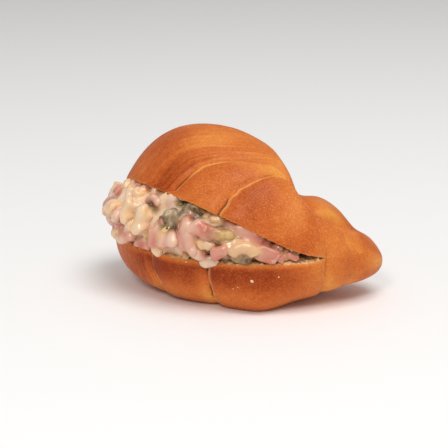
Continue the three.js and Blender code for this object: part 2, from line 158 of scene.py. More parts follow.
# The salad's pieces that show most: kind, share of the rim, share of the mouth's height, length, height
# and depth, counterclockwise turn, and how far it stands out
KEY_PIECES = (
    ("pasta", 0.29, 0.81, 8, 5, 5, 60, 0.4),
    ("ham", 0.26, 0.89, 6, 4, 4, 15, 0.2),
    ("ham", 0.23, 0.84, 5, 4, 4, -20, 0.0),
    ("ham", 0.20, 0.76, 7.5, 6, 5, -35, 0.2),
    ("pasta", 0.184, 0.84, 6, 5, 5, 80, 0.3),
    ("ham", 0.17, 0.90, 6, 5, 5, 10, -0.6),
    ("pasta", 0.23, 0.54, 9, 5, 5, 88, 0.7),
    ("pasta", 0.203, 0.48, 10.5, 5.6, 6, 78, 1.0),
    ("pasta", 0.27, 0.48, 7, 6, 6, 20, 1.2),
    ("ham", 0.255, 0.38, 7, 5, 5, 35, 0.4),
    ("ham", 0.233, 0.22, 7.5, 5.5, 5, 20, 0.6),
    ("ham", 0.20, 0.14, 6.5, 4.5, 5, -10, -0.3),
    ("ham", 0.17, 0.32, 10, 6.5, 6, 24, 0.9),
    ("mushroom", 0.162, 0.62, 10, 8, 2.4, 40, 0.8),
    ("mushroom", 0.143, 0.84, 9, 7, 2.2, -25, 0.5),
    ("mushroom", 0.152, 0.70, 7, 4, 2, 10, 0.3),
    ("ham", 0.143, 0.60, 6, 4.6, 5, 55, 0.4),
    ("ham", 0.137, 0.36, 6.2, 8.2, 5, 12, 0.7),
    ("ham", 0.122, 0.62, 10, 5.8, 5, -8, 0.9),
    ("pasta", 0.118, 0.37, 6, 4, 4, 0, 0.5),
    ("ham", 0.126, 0.17, 6, 4, 5, 5, 0.2),
    ("ham", 0.102, 0.27, 6.6, 5.4, 5, 30, 1.0),
    ("pickle", 0.102, 0.65, 6.6, 3.2, 4, 12, 0.5),
    ("pasta", 0.115, 0.86, 4.5, 4, 4, 0, 0.1),
    ("ham", 0.098, 0.90, 5.6, 4, 5, -12, -0.3),
    ("ham", 0.083, 0.86, 5.8, 4.2, 5, -20, 0.1),
    ("pasta", 0.075, 0.49, 12, 4.8, 5, 10, 0.9),
    ("ham", 0.065, 0.78, 5.4, 4, 4, -5, 0.3),
    ("mushroom", 0.077, 0.18, 10, 6, 2.2, 5, -0.2),
    ("ham", 0.045, 0.38, 9.5, 6, 5, -20, 0.8),
    ("ham", 0.049, 0.86, 4.6, 3.2, 4, -12, 0.1),
    ("ham", 0.028, 0.30, 5, 3.6, 4, -15, 0.4),
    ("ham", 0.031, 0.80, 4, 2.8, 4, -16, 0.2),
    ("ham", 0.011, 0.50, 3.8, 2.8, 3, -20, 0.1),
)
# Where the dressing runs over the base's rim: share of the rim and of the height, length, height, depth,
# turn, and how far it stands out
DRIPS = (
    (0.113, 0.03, 6.4, 4.6, 3.0, 8, 0.7),
)
PASTA_SIDES = 18
PASTA_STEPS = 10
HEAP_SEED = 7
HEAP_COLUMNS = 31
HEAP_ROW_HEIGHT = 5
KEY_SHARE = 0.3
MUSHROOM_PATCHES = ((0.15, 0.7), (0.08, 0.15), (0.62, 0.4), (0.42, 0.2))
MUSHROOM_PATCH_SIZE = (0.05, 0.2)
UNDER_LID = 2.8
LEFT_UNDER_LID = 2.8
LEFT_OVER_BASE = 2.2
DRESSING_CELL = 0.45
HOLLOW_DEPTH = 1.1
POOL_SHARE = 0.9
POOL_LEVELLING = 80
HOLLOW_LEVELLING = 30
DEEPEST_POOL = 3
TINT_REACH = {"ham": 0.9, "pasta": 0.8, "pickle": 0.8, "mushroom": 1.2}

# Crumbs on the crust, with their place, angle and size, and the torn bits along the base's cut face
CRUMB_SEED = 3
FALLEN_CRUMBS = (
    (0.149, -10.6, 1.35),
    (-0.181, -1.1, 0.7),
    (0.304, -7.7, 0.6),
    (0.038, -17.5, 0.55),
    (0.066, -15.9, 0.4),
)
TORN_CRUMBS = 90
TORN_ALONG = (0.02, 0.36)
TORN_INSET = (0.7, 3.2)
TORN_SIZE = (0.5, 1.3)

# How finely the bread is divided: rings in each band between two layer edges, and steps round a ring
RINGS_PER_BAND = (84, 44, 74, 38, 56)
RING_CROWDING = 0.75
COARSE_STEP = 1.6
FINE_STEP = 0.6
FINE_FROM = 28
FINE_TO = 62
SEAM_ANGLE = 110
SHEET_ROWS = 26
SHEET_CROWDING = 1.7
SHARP_ANGLE = math.radians(58)

# The photograph's view, in millimetres and degrees
AIM = (-6.8, -34.8, 37.4)
VIEW_ELEVATION = 15.46
VIEW_DISTANCE = 560
LENS = 114.75
SENSOR = 36

# The stage, in metres
FLOOR_SIZE = 6.0
KEY_LIGHT_AT = (0.3, -0.45, 1.45)
KEY_LIGHT_SIZE = 1.0
FILL_LIGHT_AT = (-0.35, -1.15, 1.0)
FILL_LIGHT_SIZE = 0.35
LIT_POINT = (0, 0, 0.03)


def linear(hex_code):
    """An sRGB hex colour as linear red, green and blue."""
    parts = [int(hex_code[i : i + 2], 16) / 255 for i in (1, 3, 5)]
    return tuple(c / 12.92 if c <= 0.04045 else ((c + 0.055) / 1.055) ** 2.4 for c in parts)


def opaque(colour):
    return (*colour, 1)


# Small touches of colour on the bread: pale painted glints, painted shade in the cracks and in the crumb's
# holes, and the pale colour of dry crumbs
BLISTER_GLINT = linear("#f6c8a2")
CRACK_BROWN = linear("#5b2a12")
HOLE_BROWN = linear("#9c5c30")
DRY_CRUMB = linear("#f4dcb4")


class BreadSettings(bpy.types.PropertyGroup):
    """Sizes and colours of the bread"""

    crack_depth: FloatProperty(
        name="Crack depth", description="How deep the gaps beside the layer edges go",
        default=0.0006, unit="LENGTH")
    stretch_depth: FloatProperty(
        name="Stretch line depth", description="How deep the lines of the stretched dough are",
        default=0.00012, unit="LENGTH")
    crumb_depth: FloatProperty(
        name="Crumb unevenness", description="How unevenly the crumb tears",
        default=0.0003, unit="LENGTH")
    golden: FloatVectorProperty(
        name="Golden crust", description="The crust where it has browned least",
        default=linear("#e9a048"), subtype="COLOR")
    amber: FloatVectorProperty(
        name="Amber crust", description="The crust where it has browned a little",
        default=linear("#db8039"), subtype="COLOR")
    brown: FloatVectorProperty(
        name="Brown crust", description="Most of the crust",
        default=linear("#c66227"), subtype="COLOR")
    russet: FloatVectorProperty(
        name="Russet crust", description="The crust where it has browned most",
        default=linear("#913305"), subtype="COLOR")
    crumb: FloatVectorProperty(
        name="Crumb", description="The bread inside",
        default=linear("#e3b582"), subtype="COLOR")


class SaladSettings(bpy.types.PropertyGroup):
    """Sizes and colours of the salad"""

    ham_size: FloatProperty(
        name="Ham dice", description="Usual length of a die of ham", default=0.0062, unit="LENGTH")
    pasta_length: FloatProperty(
        name="Pasta length", description="Usual length of an elbow of pasta", default=0.009, unit="LENGTH")
    pasta_bore: FloatProperty(
        name="Pasta bore", description="Width of the hole through the pasta", default=0.0019, unit="LENGTH")
    mushroom_fold: FloatProperty(
        name="Mushroom folds", description="How deep the slices are folded", default=0.001, unit="LENGTH")
    film: FloatProperty(
        name="Sauce film", description="How thick the sauce lies on the pieces",
        default=0.00042, unit="LENGTH")
    ham: FloatVectorProperty(
        name="Ham", description="Cooked ham", default=linear("#cf6c5a"), subtype="COLOR")
    pasta: FloatVectorProperty(
        name="Pasta", description="Boiled pasta", default=linear("#efc084"), subtype="COLOR")
    mushroom: FloatVectorProperty(
        name="Mushroom", description="Pale flesh of the mushroom",
        default=linear("#a08653"), subtype="COLOR")
    gills: FloatVectorProperty(
        name="Mushroom gills", description="Dark folds of the mushroom",
        default=linear("#362a15"), subtype="COLOR")
    pickle: FloatVectorProperty(
        name="Pickle", description="Pickled gherkin", default=linear("#c39a50"), subtype="COLOR")
    cream: FloatVectorProperty(
        name="Dressing", description="The creamy sauce", default=linear("#eed0b3"), subtype="COLOR")
    # Painted shade: the sauce's colour in the hollows between the pieces and under the lid
    hollow: FloatVectorProperty(
        name="Hollows", description="The sauce deep between the pieces",
        default=linear("#b0714c"), subtype="COLOR")


class StageSettings(bpy.types.PropertyGroup):
    """The floor and the light round the roll"""

    floor: FloatVectorProperty(
        name="Floor", description="The plain floor's colour", default=linear("#fbfaf8"), subtype="COLOR")
    key_power: FloatProperty(
        name="Key light", description="Power of the soft light overhead, in watts", default=14, min=0)
    fill_power: FloatProperty(
        name="Fill light", description="Power of the soft light from the front", default=5, min=0)
    surround: FloatProperty(
        name="Surround", description="Brightness of the light from all sides", default=0.4, min=0)


def smooth(value):
    share = np.clip(value, 0, 1)
    return share * share * (3 - 2 * share)


def soft_min(a, b, blend):
    share = np.clip(0.5 + 0.5 * (b - a) / blend, 0, 1)
    return b * (1 - share) + a * share - blend * share * (1 - share)


def wander(points, size, seed, waves=9):
    """Smooth uneven values, mostly from -1 to 1, with hills about size apart."""
    random = np.random.default_rng(seed)
    points = np.asarray(points, float)
    directions = random.normal(size=(waves, points.shape[-1]))
    directions /= np.linalg.norm(directions, axis=1, keepdims=True)
    lengths = size * random.uniform(0.7, 1.5, waves)
    phases = random.uniform(0, 2 * math.pi, waves)
    total = np.zeros(points.shape[:-1])
    for direction, length, phase in zip(directions, lengths, phases):
        total += np.sin(points @ direction * (2 * math.pi / length) + phase)
    return total * (1.4 / math.sqrt(waves)) * 0.7


def middle_line(place):
    """The middle line of the bread, from -1 at the blunt end to 1 at the tapered tip."""
    radius = np.where(place < 0, LEFT_BEND_RADIUS, RIGHT_BEND_RADIUS)
    heading = HEADING + place * HALF_LENGTH / radius
    x = MIDDLE[0] + radius * (np.sin(heading) - math.sin(HEADING))
    y = MIDDLE[1] + radius * (math.cos(HEADING) - np.cos(heading))
    return x, y, heading


def past_crest(place):
    """How far past its crest the crown is at a place, from 0 at the blunt end to 1 at the tip."""
    past = 0.5 * (place + np.sqrt(place**2 + CREST_ROUNDING**2 * np.maximum(0, 1 - place**2)))
    return past**2 / np.maximum(past + CREST_CARRY * (1 - past) ** 2, 1e-9)


def fullness(place, part):
    """The share of the bread's full size left at a place."""
    blunt_power, blunt_root = BLUNT_END[part]
    tip_power, tip_root = TAPERED_END[part]
    past = past_crest(place) if part == "crown" else np.maximum(0, place)
    blunt = np.maximum(0, 1 - np.maximum(0, -place) ** blunt_power) ** blunt_root
    tip = np.maximum(0, 1 - past**tip_power) ** tip_root
    return blunt * tip


def edge_wobble(angle, seed):
    """How unevenly a layer was cut, as a share of half the length."""
    turn = np.radians(angle)[..., None] * MEAN_RADIUS
    return (0.3 * wander(turn, 13, seed) + 0.12 * wander(turn, 4, seed + 1)) / HALF_LENGTH


def layer_edges(angle):
    """Places of the edges of the last two layers, from the blunt end's side to the tip's."""
    under = smooth((-angle - 10) / 40)
    behind = smooth((-angle - 90) / 100)
    second_left = -0.377 + 0.059 * smooth((angle + 1.5) / 6) + 0.02 * smooth(-angle / 25)
    second_left = second_left - 0.06 * smooth((-angle - 60) / 120) - 0.16 * behind
    tongue_left = -0.079 + 0.089 * smooth(angle / 50) + 0.02 * under - 0.2 * behind
    tongue_right = 0.579 - 0.102 * smooth((angle - 10) / 32) - 0.02 * smooth(-angle / 60) + 0.05 * behind
    second_right = 0.758 - 0.05 * smooth((angle - 10) / 32) - 0.05 * smooth((-angle - 20) / 30)
    second_right = second_right + 0.07 * behind
    edges = (second_left, tongue_left, tongue_right, second_right)
    return [edge + edge_wobble(angle, seed) for seed, edge in enumerate(edges, 20)]


def inside_layer(place, angle, left, right, tip_angle, tip_blend):
    """How far inside a layer a place is, in millimetres, negative outside."""
    from_sides = soft_min((place - left) * HALF_LENGTH, (right - place) * HALF_LENGTH, SIDE_BLEND)
    return soft_min(from_sides, np.radians(tip_angle - angle) * MEAN_RADIUS, tip_blend)


def layers_at(place, angle):
    """How far inside the tongue and the layer under it a place is."""
    second_left, tongue_left, tongue_right, second_right = layer_edges(angle)
    tongue_tip = TONGUE_TIP_ANGLE + TONGUE_TIP_SLOPE * place
    second_tip = SECOND_TIP_ANGLE + SECOND_TIP_SLOPE * place - SECOND_TIP_SAG * smooth(2 * place)
    tongue = inside_layer(place, angle, tongue_left, tongue_right, tongue_tip, TONGUE_TIP_BLEND)
    second = inside_layer(place, angle, second_left, second_right, second_tip, SECOND_TIP_BLEND)
    return tongue, second


def layer_step(inside, rise):
    step = np.where(inside > 0, 1 - np.exp(-np.maximum(inside, 0) / LAYER_SETTLE), 0)
    return rise * step - EDGE_GROOVE * np.exp(-(((inside + EDGE_GROOVE) / EDGE_GROOVE_WIDTH) ** 2))


def groove(place, at, width, depth):
    return -depth * np.exp(-(((place - at) * HALF_LENGTH / width) ** 2))


def span(angle, start, start_ease, end, end_ease):
    """0 outside a span of angles and 1 inside it, eased at both ends."""
    return smooth((angle - start) / start_ease) * (1 - smooth((angle - end) / end_ease))


def over_top(angle):
    """The angle counted over the top, also where the layers reach it under the belly."""
    return np.where(angle < SEAM_ANGLE - 210, angle + 360, angle)


def relief(place, angle):
    """How far the crust stands above the plain form."""
    tongue, second = layers_at(place, angle)
    layers = layer_step(tongue, TONGUE_RISE) + layer_step(second, SECOND_RISE)
    winding_fade = 1 - smooth((-angle - 200) / 50)
    top = over_top(angle)
    shoulder_at = SHOULDER["place"] - 0.17 * smooth((86 - top) / 36)
    dome = groove(place, DOME["place"], DOME["width"], DOME["depth"])
    fold = groove(place, FOLD["place"], FOLD["width"], FOLD["depth"])
    shoulder = groove(place, shoulder_at, SHOULDER["width"], SHOULDER["depth"])
    chin = groove(place, CHIN["place"], CHIN["width"], CHIN["depth"])
    return (
        layers * winding_fade
        + dome * span(top, 50, 30, 150, 50)
        + fold * span(top, 47, 12, 130, 30)
        + shoulder * span(top, 44, 8, 200, 50)
        + chin * span(-angle, 5, 30, 70, 40)
    )


def crust_marks(place, angle):
    """How much of each mark of the crust's finish a place has, and where it is, in millimetres."""
    second_left, tongue_left, tongue_right, second_right = layer_edges(angle)
    tongue, second = layers_at(place, angle)
    fade = 1 - smooth((-angle - 200) / 50)
    turn = np.stack([place * HALF_LENGTH, np.radians(angle) * MEAN_RADIUS], -1)
    uneven = smooth(0.62 + 0.7 * wander(turn, 9, 31))
    left_of_tongue = place < 0.5 * (tongue_left + tongue_right)
    left_of_second = place < 0.5 * (second_left + second_right)
    parted_tongue = np.where(left_of_tongue, span(angle, -60, 14, 14, 9), 0.5 * span(angle, -40, 12, 8, 14))
    parted_tongue = parted_tongue + np.exp(-(((place - 0.05) / 0.03) ** 2)) * smooth((angle - 25) / 8)
    parted_second = span(angle, 2, 4, 21, 5) + 0.35 * span(angle, -34, 14, -4, 4)
    parted_second = np.where(left_of_second, parted_second, 0)
    # Gaps where a layer parted: a groove in the crust, and painted shade in its colour
    crack = np.maximum(
        parted_tongue * np.exp(-(((tongue + 0.3) / 0.26) ** 2)),
        parted_second * np.exp(-(((second + 0.3) / 0.26) ** 2)))
    strength = (0.4 + 0.6 * left_of_tongue, 0.4 + 0.6 * left_of_second)
    lip = np.maximum(*(
        share**2 * np.exp(-((np.maximum(inside, 0) / 0.5) ** 2)) * (inside > -0.2)
        for share, inside in zip(strength, (tongue, second))))
    apart = np.clip(-second, 0, 40)
    blunt = smooth((0.1 - place) / 0.1)
    young = np.exp(-((apart / 1.5) ** 2)) * (second < 0) * span(over_top(angle), 8, 14, 110, 30)
    below_seam = 1 - smooth((angle - 85) / 20)
    # A line along the fold in the stretched dough: a shallow groove, and painted shade in the crust's
    # colour
    folded = np.exp(-(((apart - 6.6 - 0.05 * np.radians(angle) * MEAN_RADIUS) / 0.7) ** 2))
    folded = folded * (second < 0) * blunt * span(angle, 4, 8, 46, 14)
    valley = sum(
        np.exp(-(((inside + 1.6) / 2.2) ** 2)) * (inside < 0) * share * smooth(-angle / 12)
        for share, inside in zip(strength, (tongue, second)))
    return {
        "fold": folded * fade,
        "valley": valley * (1 - smooth((-angle - 70) / 30)),
        "lip": lip * fade * smooth((angle + 60) / 20) * (1 - smooth((angle - 75) / 20)),
        "crack": crack * uneven * fade,
        "stretch": blunt * (second < 0) * (0.3 + 0.7 * np.exp(-((apart / 10) ** 2))) * fade * below_seam,
        "young": young * fade,
        # Where the pale specks of painted glint show most
        "grain": 0.3 + 0.7 * smooth(second / 3) * smooth(angle / 8),
        "band": smooth(second / 2) * (1 - smooth(tongue / 2)) * left_of_tongue * fade,
        "tongue": smooth(tongue / 2) * smooth((0.56 - place) / 0.12) * fade,
        "apart": apart,
        "along": place * HALF_LENGTH,
        "around": np.radians(over_top(angle)) * MEAN_RADIUS,
    }


def stretch_lines(marks):
    """Fine lines in the stretched dough, beside each other from the edge of the rolled layer."""
    place = np.stack([marks["apart"] / 1.6 + 0.02 * marks["around"], marks["around"] / 22], -1)
    return 1.6 * wander(place, 1.1, 41, 14) + 0.4 * wander(place * (2, 1), 1.1, 42, 14)


def crust(place, angle, settings):
    """Points of the crust of the closed roll."""
    x, y, heading = middle_line(place)
    marks = crust_marks(place, angle)
    fine = settings.stretch_depth / MM * marks["stretch"] * stretch_lines(marks)
    fine = fine - settings.crack_depth / MM * (marks["crack"] + 0.5 * marks["fold"])
    swell = 1 + (relief(place, angle) + fine) / MEAN_RADIUS
    across = np.cos(np.radians(angle))
    rise = np.sin(np.radians(angle))
    sideways = HALF_WIDTH * fullness(place, "width") * np.sign(across) * np.abs(across) ** SIDE_ROUNDING
    up = np.where(
        rise > 0,
        CROWN_HEIGHT * fullness(place, "crown") * rise,
        -BELLY_DEPTH * fullness(place, "belly") * np.abs(rise) ** BELLY_ROUNDING,
    )
    sunk = np.where(place > 0, TIP_DROP, BLUNT_DROP) * place * place
    return np.stack([
        x + swell * sideways * np.sin(heading),
        y - swell * sideways * np.cos(heading),
        np.maximum(0, CUT_HEIGHT - sunk + swell * up),
    ], -1)


def browning(marks, height, opened):
    """How dark the crust's colour is, from 0 for golden to 1 for russet, with the height above the cut.

    Mostly how brown it baked; it also carries painted shade along the fold line, beside the first crease
    and on the lid's lower left, and painted highlight on the upper band and under the base's rim towards
    the blunt end.
    """
    along, around = marks["along"], marks["around"]
    low = -height
    tone = 0.52 + 0.12 * wander(np.stack([along, around], -1), 24, 35)
    right = smooth((along - 6) / 26)
    on_lid = height > 0
    left = smooth((-along - 20) / 12)
    under_rim = smooth((low - 1) / 2) * (1 - smooth((low - 6) / 10))
    # A browner band under the base's rim. It fades towards the blunt end, where the paler colour is partly
    # stretched dough and partly a painted sheen
    tone = tone + 0.42 * under_rim * (1 - right) * (1 - 0.7 * left)
    tone = tone + (0.06 - 0.1 * smooth((low - 12) / 8)) * smooth(low / 2) * (1 - right)
    # Darker on the lid's lower left, towards the blunt end: browner crust, and painted shade where the dome
    # turns from the light
    tone = tone + 0.16 * smooth((-22 - along) / 12) * (1 - smooth((around - 20) / 20)) * on_lid
    tone = tone - 0.06 * smooth((around - 14) / 22)
    tone = tone + 0.16 * marks["tongue"] * (1 - smooth((around - 10) / 14)) * on_lid
    # Paler on the upper part of the band between the first two creases: golden crust, and a painted
    # highlight on its crest
    tone = tone - 0.28 * marks["band"] * smooth((around - 15) / 6) * (1 - smooth((around - 45) / 15))
    beside = np.exp(-(((marks["apart"] - 4) / 3) ** 2)) * on_lid
    # Painted shade along the fold line; paler dough in the valleys just outside the layer edges
    tone = tone + 0.2 * marks["fold"] - 0.34 * marks["valley"]
    # Beside the first crease: painted shade in the valley towards the blunt end, golden crust towards the
    # tip
    tone = tone + beside * (0.2 * smooth((-along - 12) / 6) - 0.2 * smooth((along + 14) / 8))
    tone = tone - 0.12 * marks["young"] - 0.08 * right + 0.1 * right * smooth((around - 12) / 10)
    rim = np.exp(-((height / np.where(height > 0, 0.8, 1.5)) ** 2))
    return tone - 0.3 * rim * opened


def from_hinge(points):
    """How far points are from the hinge line towards the open side, and along the line."""
    offset = points[..., :2] - HINGE
    return offset @ AWAY, offset @ ALONG


def bend_share(value):
    """The share of the lid's angle reached across the bend: an even curve, eased in and out."""
    share = np.clip(value, 0, 1)
    slope = 1 / (1 - BEND_EASE)
    ease_in = slope * share**2 / (2 * BEND_EASE)
    ease_out = 1 - slope * (1 - share) ** 2 / (2 * BEND_EASE)
    even = slope * (share - BEND_EASE / 2)
    return np.where(share < BEND_EASE, ease_in, np.where(share > 1 - BEND_EASE, ease_out, even))


def open_lid(points, share):
    """Where points of the closed roll go when the lid is bent up by a share of its angle."""
    reach, run = from_hinge(points)
    height = points[..., 2] - CUT_HEIGHT
    turn = LID_ANGLE * share
    bent = np.clip((reach - BEND_START) / BEND_LENGTH, 0, 1)
    angle = turn * bend_share(bent)
    straight = np.maximum(0, reach - BEND_START - BEND_LENGTH)
    step = bent * BEND_LENGTH / BEND_STEPS
    away = np.minimum(reach, BEND_START) + straight * np.cos(angle) - height * np.sin(angle)
    up = straight * np.sin(angle) + height * np.cos(angle)
    for k in range(BEND_STEPS):
        slope = turn * bend_share(bent * (k + 0.5) / BEND_STEPS)
        away = away + step * np.cos(slope)
        up = up + step * np.sin(slope)
    plan = HINGE + away[..., None] * AWAY + run[..., None] * ALONG
    return np.concatenate([plan, (CUT_HEIGHT + up)[..., None]], -1)


def rim_lift(points):
    """How far the base is drawn up with the lid: only near the cut's end, where they are one piece."""
    past = from_hinge(points)[0] - CUT_START
    return smooth((points[..., 2] - CUT_HEIGHT) / RIM_LIFT_DEPTH + 1) * (1 - smooth(past / RIM_LIFT_LENGTH))


def torn_crumb(points, side):
    """How far the crumb of the lid with side 1, or of the base with -1, lies from the knife's plane."""
    x, y = points[..., 0], points[..., 1]
    waves = np.sin(x * 0.52 + side) * np.cos(y * 0.47 - side) + 0.6 * np.sin(x * 0.29 - y * 0.71)
    return CUT_GAP / 2 + CRUMB_RELIEF * (1.6 + waves)


def ring_angles():
    """Angles round a ring, closest together where the layers' tips lie."""
    return np.concatenate([
        np.arange(SEAM_ANGLE - 360, FINE_FROM, COARSE_STEP),
        np.arange(FINE_FROM, FINE_TO, FINE_STEP),
        np.arange(FINE_TO, SEAM_ANGLE, COARSE_STEP),
    ])


def ring_places(angles):
    """Where each ring crosses each angle. A ring keeps its share of the band between two layer edges.

    The layers fade out before the seam, so there the rings draw over to where they lie on its other side.
    """
    faded = smooth((-angles - 190) / 60)
    beyond = layer_edges(np.array([float(SEAM_ANGLE)]))
    edges = [edge * (1 - faded) + end * faded for edge, end in zip(layer_edges(angles), beyond)]
    marks = [np.full_like(angles, -1), *edges, np.full_like(angles, 1)]
    rings = []
    for band, count in enumerate(RINGS_PER_BAND):
        for k in range(1 if band == 0 else 0, count):
            even = k / count
            share = even + RING_CROWDING * (0.5 - 0.5 * math.cos(math.pi * even) - even)
            rings.append(marks[band] * (1 - share) + marks[band + 1] * share)
    return np.array(rings)


def grid_faces(rows, columns):
    """Quads between rows of points that close on themselves."""
    faces = []
    for row in range(rows - 1):
        low, high = row * columns, (row + 1) * columns
        for i in range(columns):
            after = (i + 1) % columns
            faces.append((low + i, high + i, high + after, low + after))
    return faces


def closed_rings(rings, ends):
    """Points and faces of a closed form from rings of points, each end drawn to a point."""
    rows, columns = len(rings), len(rings[0])
    points = np.concatenate([*rings, ends])
    faces = grid_faces(rows, columns)
    start = rows * columns
    last = start - columns
    for i in range(columns):
        after = (i + 1) % columns
        faces.append((start, i, after))
        faces.append((start + 1, last + after, last + i))
    return points, faces


def closed_roll(settings):
    """The whole roll before the cut: points, faces and the crust's marks."""
    angles = ring_angles()
    places = ring_places(angles)
    around = np.broadcast_to(angles, places.shape)
    ends = np.array([-1.0, 1.0])
    points, faces = closed_rings(crust(places, around, settings), crust(ends, np.zeros(2), settings))
    end_marks = crust_marks(ends, np.zeros(2))
    marks = {
        name: np.concatenate([values.reshape(-1), end_marks[name]])
        for name, values in crust_marks(places, around).items()
    }
    return points, faces, marks


def make_mesh(name, points, faces, marks=None, scale=1.0):
    """A mesh from points and faces, with a value for each point under each mark's name."""
    mesh = bpy.data.meshes.new(name)
    mesh.from_pydata((np.asarray(points) * scale).tolist(), [], faces)
    for mark, values in (marks or {}).items():
        attribute = mesh.attributes.new(mark, "FLOAT", "POINT")
        attribute.data.foreach_set("value", np.asarray(values, np.float32))
    mesh.validate()
    mesh.update()
    return mesh


def slice_at_cut(points, faces, marks):
    """The roll with its faces divided where the knife's plane passes, and the edges that lie on it."""
    mesh = make_mesh("sliced", points, faces, marks)
    body = bmesh.new()
    body.from_mesh(mesh)
    bpy.data.meshes.remove(mesh)
    everything = body.verts[:] + body.edges[:] + body.faces[:]
    cut = bmesh.ops.bisect_plane(
        body, geom=everything, dist=1e-3, plane_co=(0, 0, CUT_HEIGHT), plane_no=(0, 0, 1))
    body.verts.index_update()
    body.normal_update()
    layers = {name: body.verts.layers.float[name] for name in marks}
    sliced_points = np.array([v.co for v in body.verts])
    normals = np.array([v.normal for v in body.verts])
    sliced_marks = {name: np.array([v[layer] for v in body.verts]) for name, layer in layers.items()}
    sliced_faces = [[v.index for v in face.verts] for face in body.faces]
    on_plane = [
        (e.verts[0].index, e.verts[1].index) for e in cut["geom_cut"] if isinstance(e, bmesh.types.BMEdge)]
    body.free()
    return sliced_points, normals, sliced_faces, sliced_marks, on_plane


def walk_slit(points, edges):
    """The points on the knife's plane in order, from the cut's end at the front to its end at the back."""
    open_side = from_hinge(points)[0] >= CUT_START
    beside = {}
    for a, b in edges:
        if open_side[a] and open_side[b]:
            beside.setdefault(a, []).append(b)
            beside.setdefault(b, []).append(a)
    ends = [v for v, near in beside.items() if len(near) == 1]
    if len(ends) != 2:
        raise RuntimeError(f"the slit should have two ends, and has {len(ends)}")
    walk = [min(ends, key=lambda v: points[v][1])]
    before = None
    while len(walk) < len(beside):
        following = [v for v in beside[walk[-1]] if v != before]
        before = walk[-1]
        walk.append(following[0])
    return walk


def round_rim(points, normals, side):
    """Draws the crust inwards beside the cut, where the knife pressed its edge over."""
    height = np.abs(points[:, 2] - CUT_HEIGHT)
    opened = smooth((from_hinge(points)[0] - CUT_START) / 5)
    depth = LID_ROUND_DEPTH if side > 0 else BASE_ROUND_DEPTH
    rest = np.clip(1 - height / RIM_ROUND_WIDTH, 0, 1)
    inward = depth * (1 - np.sqrt(1 - rest**2 * 0.98)) * opened
    points[:, :2] -= normals[:, :2] * inward[:, None]


def part_at_cut(points, side, settings):
    """Moves the crust beside the cut away from the knife's plane, the base's a little unevenly."""
    height = np.abs(points[:, 2] - CUT_HEIGHT)
    reach = from_hinge(points)[0]
    roughness = settings.crumb_depth / MM * (0.12 if side > 0 else 0.5)
    fine = roughness * (wander(points[:, :2], 2.1, 52) + 0.7 * wander(points[:, :2], 4.5, 53))
    apart = (RIM_PARTED + fine) * smooth((reach - CUT_START) / 2.5)
    near = 1 - smooth(height / TEAR_FALLOFF)
    points[:, 2] += side * apart * near


def crumb_sheet(rim, side, settings):
    """Rows of points that fill a cut face, from its rim to the line where the cut ends."""
    count = len(rim)
    chord = rim[0] + (rim[-1] - rim[0]) * np.linspace(0, 1, count)[:, None]
    rows = []
    for row in range(1, SHEET_ROWS):
        share = (row / SHEET_ROWS) ** SHEET_CROWDING
        points = rim * (1 - share) + chord * share
        reach = from_hinge(points)[0]
        from_rim = np.linalg.norm(points - rim, axis=1)
        sink = CRUMB_SINK if side > 0 else -CRUMB_SINK
        pores = settings.crumb_depth / MM * (
            1.1 * wander(points[:, :2], 1.5, 61 + side) + wander(points[:, :2], 3.2, 63 + side))
        inner = torn_crumb(points, side) + sink + pores
        opened = smooth((reach - CUT_START) / 2.5)
        share_inner = smooth(from_rim / CRUST_THICKNESS)
        outer = side * (rim[:, 2] - CUT_HEIGHT)
        points[:, 2] = CUT_HEIGHT + side * (inner * opened * share_inner + outer * (1 - share_inner))
        rows.append(points)
    return rows, chord


